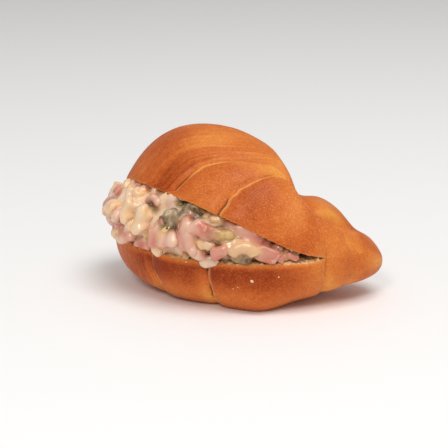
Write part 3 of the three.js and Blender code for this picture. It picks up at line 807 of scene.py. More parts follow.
def open_roll(settings):
    """The bread cut and bent open: points, faces, marks, and which faces are crumb."""
    points, normals, faces, marks, edges = slice_at_cut(*closed_roll(settings))
    slit = walk_slit(points, edges)
    points[slit, 2] = CUT_HEIGHT
    inner = slit[1:-1]
    above = np.array([points[face, 2].mean() > CUT_HEIGHT for face in faces])
    lid_copy = {v: len(points) + k for k, v in enumerate(inner)}
    points = np.concatenate([points, points[inner]])
    normals = np.concatenate([normals, normals[inner]])
    marks = {name: np.concatenate([values, values[inner]]) for name, values in marks.items()}
    faces = [
        [lid_copy.get(v, v) for v in face] if high else face for face, high in zip(faces, above)]
    side = np.where(points[:, 2] > CUT_HEIGHT, 1, -1)
    side[list(lid_copy.values())] = 1
    for which in (-1, 1):
        chosen = side == which
        part = points[chosen]
        round_rim(part, normals[chosen], which)
        part_at_cut(part, which, settings)
        points[chosen] = part
    ends = {slit[0], slit[-1]}
    crumb_faces = []
    rims = {-1: slit, 1: [lid_copy.get(v, v) for v in slit]}
    end_line = None
    sheet_points = []
    next_index = len(points)
    sheet_side = []
    for which, rim in rims.items():
        rows, chord = crumb_sheet(points[rim], which, settings)
        indices = [np.array(rim)]
        for row in rows:
            inside = np.arange(next_index, next_index + len(rim) - 2)
            next_index += len(inside)
            indices.append(np.concatenate([[rim[0]], inside, [rim[-1]]]))
            sheet_points.append(row[1:-1])
            sheet_side += [which] * len(inside)
        if end_line is None:
            inside = np.arange(next_index, next_index + len(rim) - 2)
            next_index += len(inside)
            end_line = np.concatenate([[rim[0]], inside, [rim[-1]]])
            sheet_points.append(chord[1:-1])
            sheet_side += [1] * len(inside)
        indices.append(end_line)
        for outer, inner_row in zip(indices, indices[1:]):
            for i in range(len(rim) - 1):
                corners = [outer[i], outer[i + 1], inner_row[i + 1], inner_row[i]]
                if which > 0:
                    corners.reverse()
                corners = [int(v) for k, v in enumerate(corners) if v not in corners[:k]]
                crumb_faces.append(corners)
    extra = np.concatenate(sheet_points)
    points = np.concatenate([points, extra])
    marks = {name: np.concatenate([values, np.zeros(len(extra))]) for name, values in marks.items()}
    side = np.concatenate([side, sheet_side])
    lifted = np.where(side > 0, 1.0, rim_lift(points))
    lifted[list(ends)] = 1.0
    opened = smooth((from_hinge(points)[0] - CUT_START) / 4)
    marks["tone"] = browning(marks, points[:, 2] - CUT_HEIGHT, opened)
    bent = open_lid(points, lifted)
    is_crumb = [False] * len(faces) + [True] * len(crumb_faces)
    return bent, faces + crumb_faces, marks, is_crumb


def rim_point(share):
    """Points of the mouth's rim in plan, along the front to the blunt end and back along the far side."""
    turned = 1 - 2 * np.asarray(share, float)
    side = np.where(turned >= 0, 1, -1)
    reach = np.where(side > 0, FRONT_REACH, BACK_REACH)
    place = -1 + reach * (1 - np.cos(turned * math.pi / 2))
    x, y, heading = middle_line(place)
    across = side * HALF_WIDTH * fullness(place, "width")
    return np.stack([x + across * np.sin(heading), y - across * np.cos(heading)], -1), place, side


def rim_outward(share):
    """The outward direction of the rim in plan."""
    step = 0.004
    ahead, behind = (rim_point(np.clip(share + d, 0, 1))[0] for d in (step, -step))
    along = (ahead - behind) / np.linalg.norm(ahead - behind, axis=-1, keepdims=True)
    return np.stack([-along[..., 1], along[..., 0]], -1)


def left_bulge(share):
    """How near a share of the rim is to the blunt end, where the salad bulges most, from 0 to 1."""
    return np.exp(-(((share - LEFT_BULGE_AT) / LEFT_BULGE_SPREAD) ** 2))


def salad_bulge(share, height):
    """How far the salad stands out past the plain rim."""
    _, place, side = rim_point(share)
    most = FRONT_BULGE + (LEFT_BULGE - FRONT_BULGE) * left_bulge(share)
    in_mouth = most * np.sin(math.pi * np.clip(height, 0, 1)) ** 0.8 + EDGE_OVERHANG
    from_ends = smooth(share / END_SHARE) * smooth((1 - share) / END_SHARE)
    bare = relief(place, np.where(side > 0, 0.0, -180.0)) - END_INSET * (1 - from_ends)
    return bare + in_mouth * from_ends


def between_cuts(plan, height, clearance):
    """Points in the mouth at a share of its height, from plan points of the closed roll."""
    low = CUT_HEIGHT - torn_crumb(plan, -1) + clearance
    high = CUT_HEIGHT + torn_crumb(plan, 1) - clearance
    level = low * (1 - height) + high * height
    return open_lid(np.concatenate([plan, level[..., None]], -1), height)


def salad_wall(share, height, sunk=0.0):
    """Points of the salad's face, at shares of the rim and of the mouth's height, sunk by some depth."""
    share, height, sunk = np.broadcast_arrays(*(np.asarray(v, float) for v in (share, height, sunk)))
    outward = rim_outward(share) * (salad_bulge(share, height) - sunk)[..., None]
    return between_cuts(rim_point(share)[0] + outward, height, CORE_CLEARANCE)


def mouth_height(share):
    """How high the mouth stands open at a share of the rim."""
    return np.linalg.norm(salad_wall(share, 1) - salad_wall(share, 0))


def salad_sheet(share, spread, side):
    """Points of the salad against the base or the lid, spread from its middle towards the rim."""
    edge = rim_point(share)[0] + rim_outward(share) * (salad_bulge(share, 0.0) - CORE_INSET)[..., None]
    plan = SALAD_MIDDLE * (1 - spread) + edge * spread
    return between_cuts(plan, np.full(len(plan), 0.5 + 0.5 * side), CORE_CLEARANCE)


def salad_core():
    """The sauce and the pieces that don't show, filling the mouth from its base to the lid."""
    shares = np.linspace(0, 1, CORE_STEPS)
    low = [salad_sheet(shares, spread, -1) for spread in (0.35, 0.75)]
    walls = [salad_wall(shares, height, CORE_INSET) for height in np.linspace(0, 1, 9)]
    high = [salad_sheet(shares, spread, 1) for spread in (0.75, 0.35)]
    middles = np.concatenate([salad_sheet(np.zeros(1), 0, side) for side in (-1, 1)])
    return closed_rings(low + walls + high, middles)


def rounded_block(size, seed, power=5, detail=6, skewed=0.16):
    """A block with rounded edges, cut out of square."""
    body = bmesh.new()
    bmesh.ops.create_cube(body, size=2)
    bmesh.ops.subdivide_edges(body, edges=body.edges[:], cuts=detail, use_grid_fill=True)
    points = np.array([v.co for v in body.verts])
    faces = [[v.index for v in face.verts] for face in body.faces]
    body.free()
    slant = np.eye(3) + np.random.default_rng(seed).normal(scale=skewed, size=(3, 3))
    points /= (np.abs(points @ slant) ** power).sum(axis=1, keepdims=True) ** (1 / power)
    points = points * (np.array(size) / 2)
    uneven = 1 + 0.05 * wander(points, 5, seed, 6) + 0.02 * wander(points, 1.6, seed + 1, 6)
    return points * uneven[:, None], faces


def pasta_elbow(size, bore, seed):
    """A short bent tube of pasta with its bore open."""
    length, height, _ = size
    radius, hole, curve = height / 2, min(bore / MM, 0.6 * height) / 2, 1.1 * height
    around = np.linspace(0, 2 * math.pi, PASTA_SIDES, endpoint=False)

    def loop(width, along):
        turn = along / curve
        out = curve + width * np.cos(around)
        return np.stack([out * math.sin(turn), out * math.cos(turn) - curve, width * np.sin(around)], -1)

    ends = 0.5 * length
    outside = [loop(radius, along) for along in np.linspace(0.25 - ends, ends - 0.25, PASTA_STEPS)]
    inside = [loop(hole, along) for along in np.linspace(ends - 0.25, 0.25 - ends, PASTA_STEPS)]
    middle = (radius + hole) / 2
    rings = [loop(middle, -ends), *outside, loop(middle, ends), *inside]
    points = np.concatenate(rings)
    points += 0.12 * wander(points, 3, seed, 6)[:, None]
    faces = grid_faces(len(rings), PASTA_SIDES)
    last = (len(rings) - 1) * PASTA_SIDES
    for i in range(PASTA_SIDES):
        after = (i + 1) % PASTA_SIDES
        faces.append((last + i, i, after, last + after))
    return points, [face[::-1] for face in faces]


def sauce_in_bore(points, open_steps):
    """The sauce that fills an elbow's bore, up to some steps from its ends."""
    rings = points.reshape(-1, PASTA_SIDES, 3)[PASTA_STEPS + 2 :]
    rings = rings[open_steps : PASTA_STEPS - open_steps]
    return closed_rings(list(rings), rings[[0, -1]].mean(axis=1))


def mushroom_slice(size, fold, seed):
    """A slice of mushroom: a thin oval with wavy folds."""
    length, width, thickness = size
    sides = 40
    around = np.linspace(0, 2 * math.pi, sides, endpoint=False)
    rings = []
    for side in (1, -1):
        reaches = np.linspace(0.12, 0.94, 9)
        for reach in reaches if side > 0 else reaches[::-1]:
            flat = np.stack([reach * np.cos(around), reach * np.sin(around)], -1)
            level = np.full((sides, 1), side * 0.5 * thickness * (1 - 0.5 * reach**4))
            rings.append(np.concatenate([flat * (length / 2, width / 2), level], -1))
        if side > 0:
            edge = np.stack([np.cos(around) * length / 2, np.sin(around) * width / 2, 0 * around], -1)
            rings.append(edge)
    ends = np.array([(0, 0, thickness / 2), (0, 0, -thickness / 2)])
    points, faces = closed_rings(rings, ends)
    points[:, :2] *= 1 + 0.1 * wander(points[:, :2], 4.5, seed, 5)[:, None]
    folds = wander(points[:, :2], 5.5, seed + 1, 5) + 0.25 * wander(points[:, :2], 2.4, seed + 2, 5)
    points[:, 2] += fold / MM * folds
    return points, faces


def make_piece(kind, size, seed, settings):
    if kind == "pasta":
        return pasta_elbow(size, settings.pasta_bore, seed)
    if kind == "mushroom":
        return mushroom_slice(size, settings.mushroom_fold, seed)
    return rounded_block(size, seed, 3.2 if kind == "pickle" else 6)


def seat_piece(points, share, height, turn, out, between=True):
    """Sets a piece into the salad's face, standing out by some millimetres.

    It keeps between the cut faces, and further back beside the lid and, at the blunt end, beside the base.
    """
    room = mouth_height(share)
    up = (salad_wall(share, 1) - salad_wall(share, 0)) / room
    outward = salad_wall(share, height) - salad_wall(share, height, 1)
    outward -= up * (outward @ up)
    outward /= np.linalg.norm(outward)
    along = np.cross(up, outward)
    blunt = left_bulge(share)
    out -= (UNDER_LID + LEFT_UNDER_LID * blunt) * smooth((height - 0.6) / 0.3)
    out -= LEFT_OVER_BASE * blunt * smooth((0.4 - height) / 0.3)
    c, s = math.cos(math.radians(turn)), math.sin(math.radians(turn))
    points = points @ np.stack([along * c + up * s, up * c - along * s, outward])
    if between:
        above = points @ up
        fit = min(1, (room - 2 * PIECE_CLEARANCE) / (above.max() - above.min()))
        points, above = points * fit, above * fit
        lowest = PIECE_CLEARANCE - above.min()
        highest = max(lowest, room - PIECE_CLEARANCE - above.max())
        height = np.clip(height * room, lowest, highest) / room
    face = salad_wall(share, height)
    return points + face + outward * (out - (points @ outward).max())


def tipped(points, random, most):
    """The points turned about a random line by up to some degrees."""
    axis = Vector(random.normal(size=3)).normalized()
    frame = np.array(Matrix.Rotation(math.radians(random.uniform(-most, most)), 3, axis))
    return points @ frame


def salad_pieces(settings):
    """All pieces of the salad: a list of points and faces for each kind."""
    random = np.random.default_rng(HEAP_SEED)
    pieces = {"ham": [], "pasta": [], "mushroom": [], "pickle": []}
    for number, (kind, share, height, length, tall, deep, turn, out) in enumerate(KEY_PIECES):
        points, faces = make_piece(kind, (length, tall, deep), 100 + number, settings)
        points = seat_piece(points, share, height, turn, out)
        pieces[kind].append((points, faces))
    for column in range(HEAP_COLUMNS):
        rows = max(1, round(mouth_height((column + 0.5) / HEAP_COLUMNS) / HEAP_ROW_HEIGHT))
        for row in range(rows):
            shift = 0.5 * (row % 2) + 0.5 * random.uniform(-0.5, 0.5)
            share = (column + 0.5 + shift) / HEAP_COLUMNS
            height = (row + 0.5) / rows
            kind = heap_kind(share, height, random)
            size = heap_size(kind, settings, random)
            points, faces = make_piece(kind, size, int(random.integers(9999)), settings)
            points = tipped(points, random, 35 if kind == "pasta" else 180)
            out = -random.uniform(0, 1.2) - (0.5 if share < KEY_SHARE else 0)
            pieces[kind].append((seat_piece(points, share, height, random.uniform(0, 180), out), faces))
    return pieces


def heap_kind(share, height, random):
    """Which kind lies at a place: mushroom gathers in patches, and the others take turns."""
    length, tall = MUSHROOM_PATCH_SIZE
    for at, level in MUSHROOM_PATCHES:
        if ((share - at) / length) ** 2 + ((height - level) / tall) ** 2 < 1:
            return "mushroom"
    chance = random.uniform()
    return "ham" if chance < 0.6 else "pasta" if chance < 0.94 else "pickle"


def heap_size(kind, settings, random):
    if kind == "ham":
        return settings.ham_size / MM * random.uniform((0.85, 0.65, 0.6), (1.15, 0.95, 0.85))
    if kind == "pasta":
        return settings.pasta_length / MM * random.uniform(0.85, 1.1), 4.8, 4.8
    if kind == "mushroom":
        return random.uniform(7, 9.5), random.uniform(5, 7), 2.2
    return random.uniform(4, 6), random.uniform(3, 4), 3.2


def joined(shapes):
    """The points and faces of some shapes as one list each."""
    faces = []
    start = 0
    for points, shape_faces in shapes:
        faces += [[start + v for v in face] for face in shape_faces]
        start += len(points)
    return np.concatenate([points for points, _ in shapes]), faces


def melted(shapes, cell):
    """A mesh of one closed surface round all the shapes, divided into even cells."""
    mesh = make_mesh("lump", *joined(shapes))
    lump = bpy.data.objects.new("lump", mesh)
    bpy.context.scene.collection.objects.link(lump)
    modifier = lump.modifiers.new("cells", "REMESH")
    modifier.mode = "VOXEL"
    modifier.voxel_size = cell
    whole = bpy.data.meshes.new_from_object(lump.evaluated_get(bpy.context.evaluated_depsgraph_get()))
    bpy.data.objects.remove(lump)
    bpy.data.meshes.remove(mesh)
    return whole


def relax(points, edges, times, share):
    """Draws each point towards the middle of its neighbours."""
    ends = np.concatenate([edges[:, 0], edges[:, 1]])
    others = np.concatenate([edges[:, 1], edges[:, 0]])
    count = np.bincount(ends, minlength=len(points))[:, None]
    for _ in range(times):
        total = np.stack([np.bincount(ends, points[others, k], len(points)) for k in range(3)], -1)
        points = points * (1 - share) + total / count * share
    return points


def read_mesh(mesh):
    """A mesh's points, point normals, edges and faces."""
    points = np.empty(len(mesh.vertices) * 3)
    normals = np.empty(len(mesh.vertices) * 3)
    edges = np.empty(len(mesh.edges) * 2, np.int32)
    mesh.vertices.foreach_get("co", points)
    mesh.vertex_normals.foreach_get("vector", normals)
    mesh.edges.foreach_get("vertices", edges)
    faces = [list(face.vertices) for face in mesh.polygons]
    return points.reshape(-1, 3), normals.reshape(-1, 3), edges.reshape(-1, 2), faces


def normals_of(mesh, points):
    """Moves a mesh's points and gives its new point normals."""
    mesh.vertices.foreach_set("co", points.reshape(-1))
    mesh.update()
    return read_mesh(mesh)[1]


def hollow_of(mesh, points, times):
    """How deep each point lies below the level of the surface round it, negative where it stands out."""
    _, normals, edges, _ = read_mesh(mesh)
    return ((relax(points, edges, times, 0.6) - points) * normals).sum(axis=1)


def distance_to(shapes, points):
    """How far each point is from the nearest of some shapes."""
    if not shapes:
        return np.full(len(points), 99.0)
    whole, faces = joined(shapes)
    tree = BVHTree.FromPolygons(whole.tolist(), faces)
    return np.array([tree.find_nearest(point)[3] for point in points.tolist()])


def dressing(settings):
    """The sauce round the pieces: filled in between them, and thin or gone where they stand out."""
    pieces = salad_pieces(settings)
    everything = [shape for shapes in pieces.values() for shape in shapes]
    everything += [sauce_in_bore(points, number % 3) for number, (points, _) in enumerate(pieces["pasta"])]
    for number, (share, height, length, tall, deep, turn, out) in enumerate(DRIPS):
        points, faces = rounded_block((length, tall, deep), 300 + number, 2.4)
        everything.append((seat_piece(points, share, height, turn, out, between=False), faces))
    mesh = melted([salad_core(), *everything], DRESSING_CELL)
    points, _, edges, faces = read_mesh(mesh)
    points = relax(points, edges, 2, 0.4)
    pooled = np.clip(POOL_SHARE + 0.35 * wander(points, 9, 73), 0, 1)
    normals = normals_of(mesh, points)
    pools = np.clip(hollow_of(mesh, points, POOL_LEVELLING), 0, DEEPEST_POOL) * pooled
    points = points + normals * pools[:, None]
    points = relax(points, edges, 2, 0.35)
    normals = normals_of(mesh, points)
    hollow = hollow_of(mesh, points, HOLLOW_LEVELLING)
    uneven = np.clip(1 + 1.0 * wander(points, 7, 71) + 0.2 * wander(points, 3.5, 72), -0.4, 2.5)
    near_mushroom = np.exp(-((distance_to(pieces["mushroom"], points) / TINT_REACH["mushroom"]) ** 2))
    from_left = 1.3 - 0.8 * smooth((points[:, 0] + 25) / 35)
    film = settings.film / MM * uneven * (1 - 0.5 * near_mushroom) * from_left
    points = points + normals * film[:, None]
    bpy.data.meshes.remove(mesh)
    marks = {}
    for kind, shapes in pieces.items():
        marks[kind] = np.exp(-((distance_to(shapes, points) / TINT_REACH[kind]) ** 1.5))
    # Painted shade in the hollows between the pieces, stronger and spread wider towards the right, under
    # the lid
    right = smooth((points[:, 0] + 32) / 30)
    marks["hollow"] = np.minimum(1, smooth(hollow / HOLLOW_DEPTH) * (0.45 + 0.55 * right) + 0.3 * right)
    return points, faces, marks


def on_base(points):
    """Where points of the closed roll's base lie once the roll is open."""
    return open_lid(points, rim_lift(points))


def crumbs(settings):
    """Crumbs that fell on the crust, and torn bits that stand along the base's cut face."""
    random = np.random.default_rng(CRUMB_SEED)
    spots = [
        (on_base(crust(np.array(place), np.array(angle), settings)[None])[0], size)
        for place, angle, size in FALLEN_CRUMBS
    ]
    for share in random.uniform(*TORN_ALONG, TORN_CRUMBS):
        start, place, _ = rim_point(share)
        plan = start + rim_outward(share) * (relief(place, 0.0) - random.uniform(*TORN_INSET))
        level = CUT_HEIGHT - torn_crumb(plan, -1) - CRUMB_SINK / 2
        spots.append((on_base(np.array([[*plan, level]]))[0], random.uniform(*TORN_SIZE)))
    shapes = []
    for number, (spot, size) in enumerate(spots):
        points, faces = rounded_block((size, 0.9 * size, 0.75 * size), 400 + number, 2.8, 2, 0.12)
        shapes.append((tipped(points, random, 180) + spot, faces))
    return joined(shapes)


def add_node(tree, kind, settings=None, inputs=None):
    """Adds a node, sets what settings names, and sets or links the inputs by name or number."""
    node = tree.nodes.new(kind)
    for name, value in (settings or {}).items():
        setattr(node, name, value)
    for key, value in (inputs or {}).items():
        if isinstance(value, bpy.types.NodeSocket):
            tree.links.new(value, node.inputs[key])
        else:
            node.inputs[key].default_value = value
    return node


def new_material(name):
    """An empty material with its output and shader, and its node tree."""
    material = bpy.data.materials.new(name)
    material.use_nodes = True
    tree = material.node_tree
    tree.nodes.clear()
    shader = add_node(tree, "ShaderNodeBsdfPrincipled")
    add_node(tree, "ShaderNodeOutputMaterial", inputs={"Surface": shader.outputs["BSDF"]})
    return material, tree, shader


def in_millimetres(tree, size):
    """The object's coordinates divided by a size in millimetres."""
    place = add_node(tree, "ShaderNodeTexCoord")
    scaled = add_node(
        tree, "ShaderNodeVectorMath", {"operation": "SCALE"},
        {0: place.outputs["Object"], "Scale": 1 / (size * MM)})
    return scaled.outputs[0]


def crust_material(settings):
    """Milk dough brushed with egg and baked: satin, with a soft broad highlight.

    The sugars brown where the dough faces the heat, and stay golden where one layer was drawn away from
    the next. Fine blisters of the baked egg wash, under a millimetre across, are drawn near their size.
    Pale specks on the crust are painted glints, and the gaps beside the layer edges are darkened with
    painted shade. Some of the tone is also painted shade and painted highlight, as browning lists.
    """
    material, tree, shader = new_material("baked_egg_washed_crust")
    marks = {
        name: add_node(tree, "ShaderNodeAttribute", {"attribute_name": name}).outputs["Fac"]
        for name in ("lip", "crack", "stretch", "tone", "apart", "grain")
    }
    blisters = add_node(
        tree, "ShaderNodeTexNoise", None,
        {"Vector": in_millimetres(tree, 0.75), "Scale": 1, "Detail": 1.5, "Roughness": 0.55})
    mottle = add_node(
        tree, "ShaderNodeTexNoise", None,
        {"Vector": in_millimetres(tree, 3.5), "Scale": 1, "Detail": 3, "Roughness": 0.6})
    along = add_node(tree, "ShaderNodeSeparateXYZ", None, {0: in_millimetres(tree, 30)})
    across = add_node(tree, "ShaderNodeMath", {"operation": "DIVIDE"}, {0: marks["apart"], 1: 1.3})
    streak_place = add_node(
        tree, "ShaderNodeCombineXYZ", None,
        {0: across.outputs[0], 1: along.outputs[0], 2: along.outputs[2]})
    streaks = add_node(
        tree, "ShaderNodeTexNoise", None,
        {"Vector": streak_place.outputs[0], "Scale": 1, "Detail": 2, "Roughness": 0.55})
    # Pale specks of painted glint: they lighten the tone a little and are mixed towards a pale highlight
    # colour
    dots = add_node(
        tree, "ShaderNodeTexVoronoi", {"feature": "F1"}, {"Vector": in_millimetres(tree, 0.75), "Scale": 1})
    specks = add_node(
        tree, "ShaderNodeMapRange", {"interpolation_type": "SMOOTHSTEP"},
        {"Value": dots.outputs["Distance"], "From Min": 0.12, "From Max": 0.36, "To Min": 1, "To Max": 0})
    grainy = add_node(
        tree, "ShaderNodeMath", {"operation": "MULTIPLY"}, {0: specks.outputs[0], 1: marks["grain"]})

    total = marks["tone"]
    for value, gain in (
        (mottle.outputs["Fac"], 0.3),
        (blisters.outputs["Fac"], 0.5),
        (grainy.outputs[0], -0.12),
        (marks["lip"], -0.4),
    ):
        offset = add_node(
            tree, "ShaderNodeMath", {"operation": "MULTIPLY_ADD"},
            {0: value, 1: gain, 2: -0.5 * max(gain, 0)})
        total = add_node(
            tree, "ShaderNodeMath", {"operation": "ADD"}, {0: offset.outputs[0], 1: total}).outputs[0]
    streaked = add_node(
        tree, "ShaderNodeMath", {"operation": "MULTIPLY_ADD"},
        {0: streaks.outputs["Fac"], 1: 0.8, 2: -0.4})
    streaked = add_node(
        tree, "ShaderNodeMath", {"operation": "MULTIPLY_ADD"},
        {0: streaked.outputs[0], 1: marks["stretch"], 2: total})
    ramp = add_node(tree, "ShaderNodeValToRGB", None, {"Fac": streaked.outputs[0]})
    stops = [(0.0, settings.golden), (0.3, settings.amber), (0.6, settings.brown), (1.0, settings.russet)]
    elements = ramp.color_ramp.elements
    while len(elements) < len(stops):
        elements.new(0.5)
    for element, (position, colour) in zip(elements, stops):
        element.position = position
        element.color = opaque(colour)
    ragged = add_node(
        tree, "ShaderNodeMapRange", None,
        {"Value": mottle.outputs["Fac"], "From Min": 0.38, "From Max": 0.62, "To Min": 0.05, "To Max": 0.5})
    lip = add_node(
        tree, "ShaderNodeMath", {"operation": "MULTIPLY"}, {0: ragged.outputs[0], 1: marks["lip"]})
    lipped = add_node(
        tree, "ShaderNodeMix", {"data_type": "RGBA"},
        {0: lip.outputs[0], 6: ramp.outputs["Color"], 7: opaque(settings.crumb)})
    # Painted glints on the specks
    glints = add_node(tree, "ShaderNodeMath", {"operation": "MULTIPLY"}, {0: grainy.outputs[0], 1: 0.15})
    speckled = add_node(
        tree, "ShaderNodeMix", {"data_type": "RGBA"},
        {0: glints.outputs[0], 6: lipped.outputs[2], 7: opaque(BLISTER_GLINT)})
    # Painted shade in the gaps beside the layer edges
    cracked = add_node(tree, "ShaderNodeMath", {"operation": "MULTIPLY"}, {0: marks["crack"], 1: 0.75})
    colour = add_node(
        tree, "ShaderNodeMix", {"data_type": "RGBA"},
        {0: cracked.outputs[0], 6: speckled.outputs[2], 7: opaque(CRACK_BROWN)})
    tree.links.new(colour.outputs[2], shader.inputs["Base Color"])

    rough = add_node(
        tree, "ShaderNodeMapRange", None,
        {"Value": mottle.outputs["Fac"], "To Min": 0.38, "To Max": 0.52})
    tree.links.new(rough.outputs[0], shader.inputs["Roughness"])
    pitted = add_node(
        tree, "ShaderNodeBump", None,
        {"Strength": 0.7, "Distance": 0.2 * MM, "Height": blisters.outputs["Fac"]})
    tree.links.new(pitted.outputs[0], shader.inputs["Normal"])
    shader.inputs["IOR"].default_value = 1.45
    shader.inputs["Specular IOR Level"].default_value = 0.12
    shader.inputs["Coat Weight"].default_value = 0.09
    shader.inputs["Coat Roughness"].default_value = 0.28
    shader.inputs["Subsurface Weight"].default_value = 0.05
    shader.inputs["Subsurface Radius"].default_value = (1, 0.4, 0.15)
    shader.inputs["Subsurface Scale"].default_value = 1.2 * MM
    return material


def crumb_material(settings):
    """The bread inside, torn by the knife: matt, pale and full of small holes, darkened with painted shade.
    """
    material, tree, shader = new_material("torn_milk_bread_crumb")
    holes = add_node(
        tree, "ShaderNodeTexVoronoi", None, {"Vector": in_millimetres(tree, 1.3), "Scale": 1})
    grain = add_node(
        tree, "ShaderNodeTexNoise", None,
        {"Vector": in_millimetres(tree, 0.8), "Scale": 1, "Detail": 3})
    # Painted shade in the small holes
    shade = add_node(
        tree, "ShaderNodeMapRange", None,
        {"Value": holes.outputs["Distance"], "From Min": 0.1, "From Max": 0.6, "To Min": 0.5, "To Max": 0})
    colour = add_node(
        tree, "ShaderNodeMix", {"data_type": "RGBA"},
        {0: shade.outputs[0], 6: opaque(settings.crumb), 7: opaque(HOLE_BROWN)})
    tree.links.new(colour.outputs[2], shader.inputs["Base Color"])
    torn = add_node(
        tree, "ShaderNodeBump", None,
        {"Strength": 0.8, "Distance": 0.3 * MM, "Height": grain.outputs["Fac"]})
    tree.links.new(torn.outputs[0], shader.inputs["Normal"])
    shader.inputs["Roughness"].default_value = 0.85
    shader.inputs["Subsurface Weight"].default_value = 0.2
    shader.inputs["Subsurface Radius"].default_value = (1, 0.6, 0.35)
    shader.inputs["Subsurface Scale"].default_value = 1.5 * MM
    return material


def fallen_crumb_material(settings):
    """Dry crumbs: matt and paler than the crust, so that they show as light specks."""
    material, tree, shader = new_material("dry_bread_crumbs")
    toasted = add_node(
        tree, "ShaderNodeTexNoise", None, {"Vector": in_millimetres(tree, 1.5), "Scale": 1, "Detail": 2})
    colour = add_node(
        tree, "ShaderNodeMix", {"data_type": "RGBA"},
        {0: toasted.outputs["Fac"], 6: opaque(DRY_CRUMB), 7: opaque(settings.crumb)})
    tree.links.new(colour.outputs[2], shader.inputs["Base Color"])
    shader.inputs["Roughness"].default_value = 0.8
    shader.inputs["Specular IOR Level"].default_value = 0.2
    return material


def wet_food(shader, roughness, depth):
    """Gives a shader the gloss and the soft depth of moist food."""
    shader.inputs["Roughness"].default_value = roughness
    shader.inputs["IOR"].default_value = 1.4
    shader.inputs["Subsurface Weight"].default_value = 0.3
    shader.inputs["Subsurface Radius"].default_value = (1, 0.55, 0.4)
    shader.inputs["Subsurface Scale"].default_value = depth * MM


def mottled_food_material(name, first, second, size, roughness):
    """Moist food whose colour wanders between two, in patches of a size in millimetres."""
    material, tree, shader = new_material(name)
    patches = add_node(
        tree, "ShaderNodeTexNoise", None,
        {"Vector": in_millimetres(tree, size), "Scale": 1, "Detail": 3, "Roughness": 0.6})
    share = add_node(
        tree, "ShaderNodeMapRange", None,
        {"Value": patches.outputs["Fac"], "From Min": 0.35, "From Max": 0.65})
    colour = add_node(
        tree, "ShaderNodeMix", {"data_type": "RGBA"},
        {0: share.outputs[0], 6: opaque(first), 7: opaque(second)})
    tree.links.new(colour.outputs[2], shader.inputs["Base Color"])
    wet_food(shader, roughness, 1)
    return material


def dressing_material(settings):
    """A cream dressing: glossy, and tinted by the ham, pasta and mushroom where it lies thin on them.

    Its colour is darker and warmer in the hollows between the pieces, and under the lid towards the right:
    painted shade.
    """
    material, tree, shader = new_material("creamy_salad_dressing")
    patches = add_node(
        tree, "ShaderNodeTexNoise", None,
        {"Vector": in_millimetres(tree, 3.5), "Scale": 1, "Detail": 2, "Roughness": 0.5})
    share = add_node(
        tree, "ShaderNodeMapRange", None,
        {"Value": patches.outputs["Fac"], "From Min": 0.35, "From Max": 0.65})
    mushroom = add_node(
        tree, "ShaderNodeMix", {"data_type": "RGBA"},
        {0: share.outputs[0], 6: opaque(settings.mushroom), 7: opaque(settings.gills)})
    colour = opaque(settings.cream)
    for kind, most, tint in (
        ("ham", 0.9, opaque(settings.ham)),
        ("pasta", 0.85, opaque(settings.pasta)),
        ("pickle", 0.85, opaque(settings.pickle)),
        ("mushroom", 0.92, mushroom.outputs[2]),
        # Painted shade in the hollows
        ("hollow", 0.8, opaque(settings.hollow)),
    ):
        mark = add_node(tree, "ShaderNodeAttribute", {"attribute_name": kind})
        amount = add_node(
            tree, "ShaderNodeMath", {"operation": "MULTIPLY"}, {0: mark.outputs["Fac"], 1: most})
        colour = add_node(
            tree, "ShaderNodeMix", {"data_type": "RGBA"},
            {0: amount.outputs[0], 6: colour, 7: tint}).outputs[2]
    tree.links.new(colour, shader.inputs["Base Color"])
    wet_food(shader, 0.22, 1.2)
    mark = add_node(tree, "ShaderNodeAttribute", {"attribute_name": "mushroom"})
    gloss = add_node(
        tree, "ShaderNodeMapRange", None, {"Value": mark.outputs["Fac"], "To Min": 0.7, "To Max": 0.15})
    tree.links.new(gloss.outputs[0], shader.inputs["Coat Weight"])
    shader.inputs["Coat Roughness"].default_value = 0.06
    return material


def shade_smooth(mesh):
    mesh.polygons.foreach_set("use_smooth", np.ones(len(mesh.polygons), bool))


def blended(first, second, share):
    """A colour with a share of the second in it."""
    return tuple((1 - share) * a + share * b for a, b in zip(first, second))


def place_piece(name, mesh, node, slot, *materials):
    """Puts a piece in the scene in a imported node's place."""
    piece = bpy.data.objects.new(name, mesh)
    bpy.context.scene.collection.objects.link(piece)
    for material in materials:
        mesh.materials.append(material)
    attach(piece, "root")
    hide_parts(node)


class ROLL_OT_bread(bpy.types.Operator):
    """Makes the bread: its crust with the rolled layers, and the crumb of both cut faces"""

    bl_idname = "filled_roll.bread"
    bl_label = "Bread"

    def execute(self, context):
        settings = context.scene.filled_roll_bread
        points, faces, marks, is_crumb = open_roll(settings)
        mesh = make_mesh("bread", points, faces, marks, MM)
        place_piece("bread", mesh, "roll", "bread", crust_material(settings), crumb_material(settings))
        if len(mesh.polygons) != len(is_crumb):
            raise RuntimeError("the bread has a face that isn't sound")
        mesh.polygons.foreach_set("material_index", np.array(is_crumb, np.int32))
        shade_smooth(mesh)
        mesh.set_sharp_from_angle(angle=SHARP_ANGLE)
        mesh.update()
        return {"FINISHED"}


class ROLL_OT_crumbs(bpy.types.Operator):
    """Makes the crumbs on the crust and the torn bits along the base's cut face"""

    bl_idname = "filled_roll.crumbs"
    bl_label = "Crumbs"

    def execute(self, context):
        settings = context.scene.filled_roll_bread
        points, faces = crumbs(settings)
        mesh = make_mesh("crumbs", points, faces, None, MM)
        shade_smooth(mesh)
        place_piece("crumbs", mesh, "roll", "bread", fallen_crumb_material(settings))
        return {"FINISHED"}


def place_kind(context, kind, material):
    """Puts all salad pieces of a kind in the scene as one piece."""
    shapes = salad_pieces(context.scene.filled_roll_salad)[kind]
    mesh = make_mesh(kind, *joined(shapes), None, MM)
    shade_smooth(mesh)
    place_piece(kind, mesh, "filling", "salad", material)


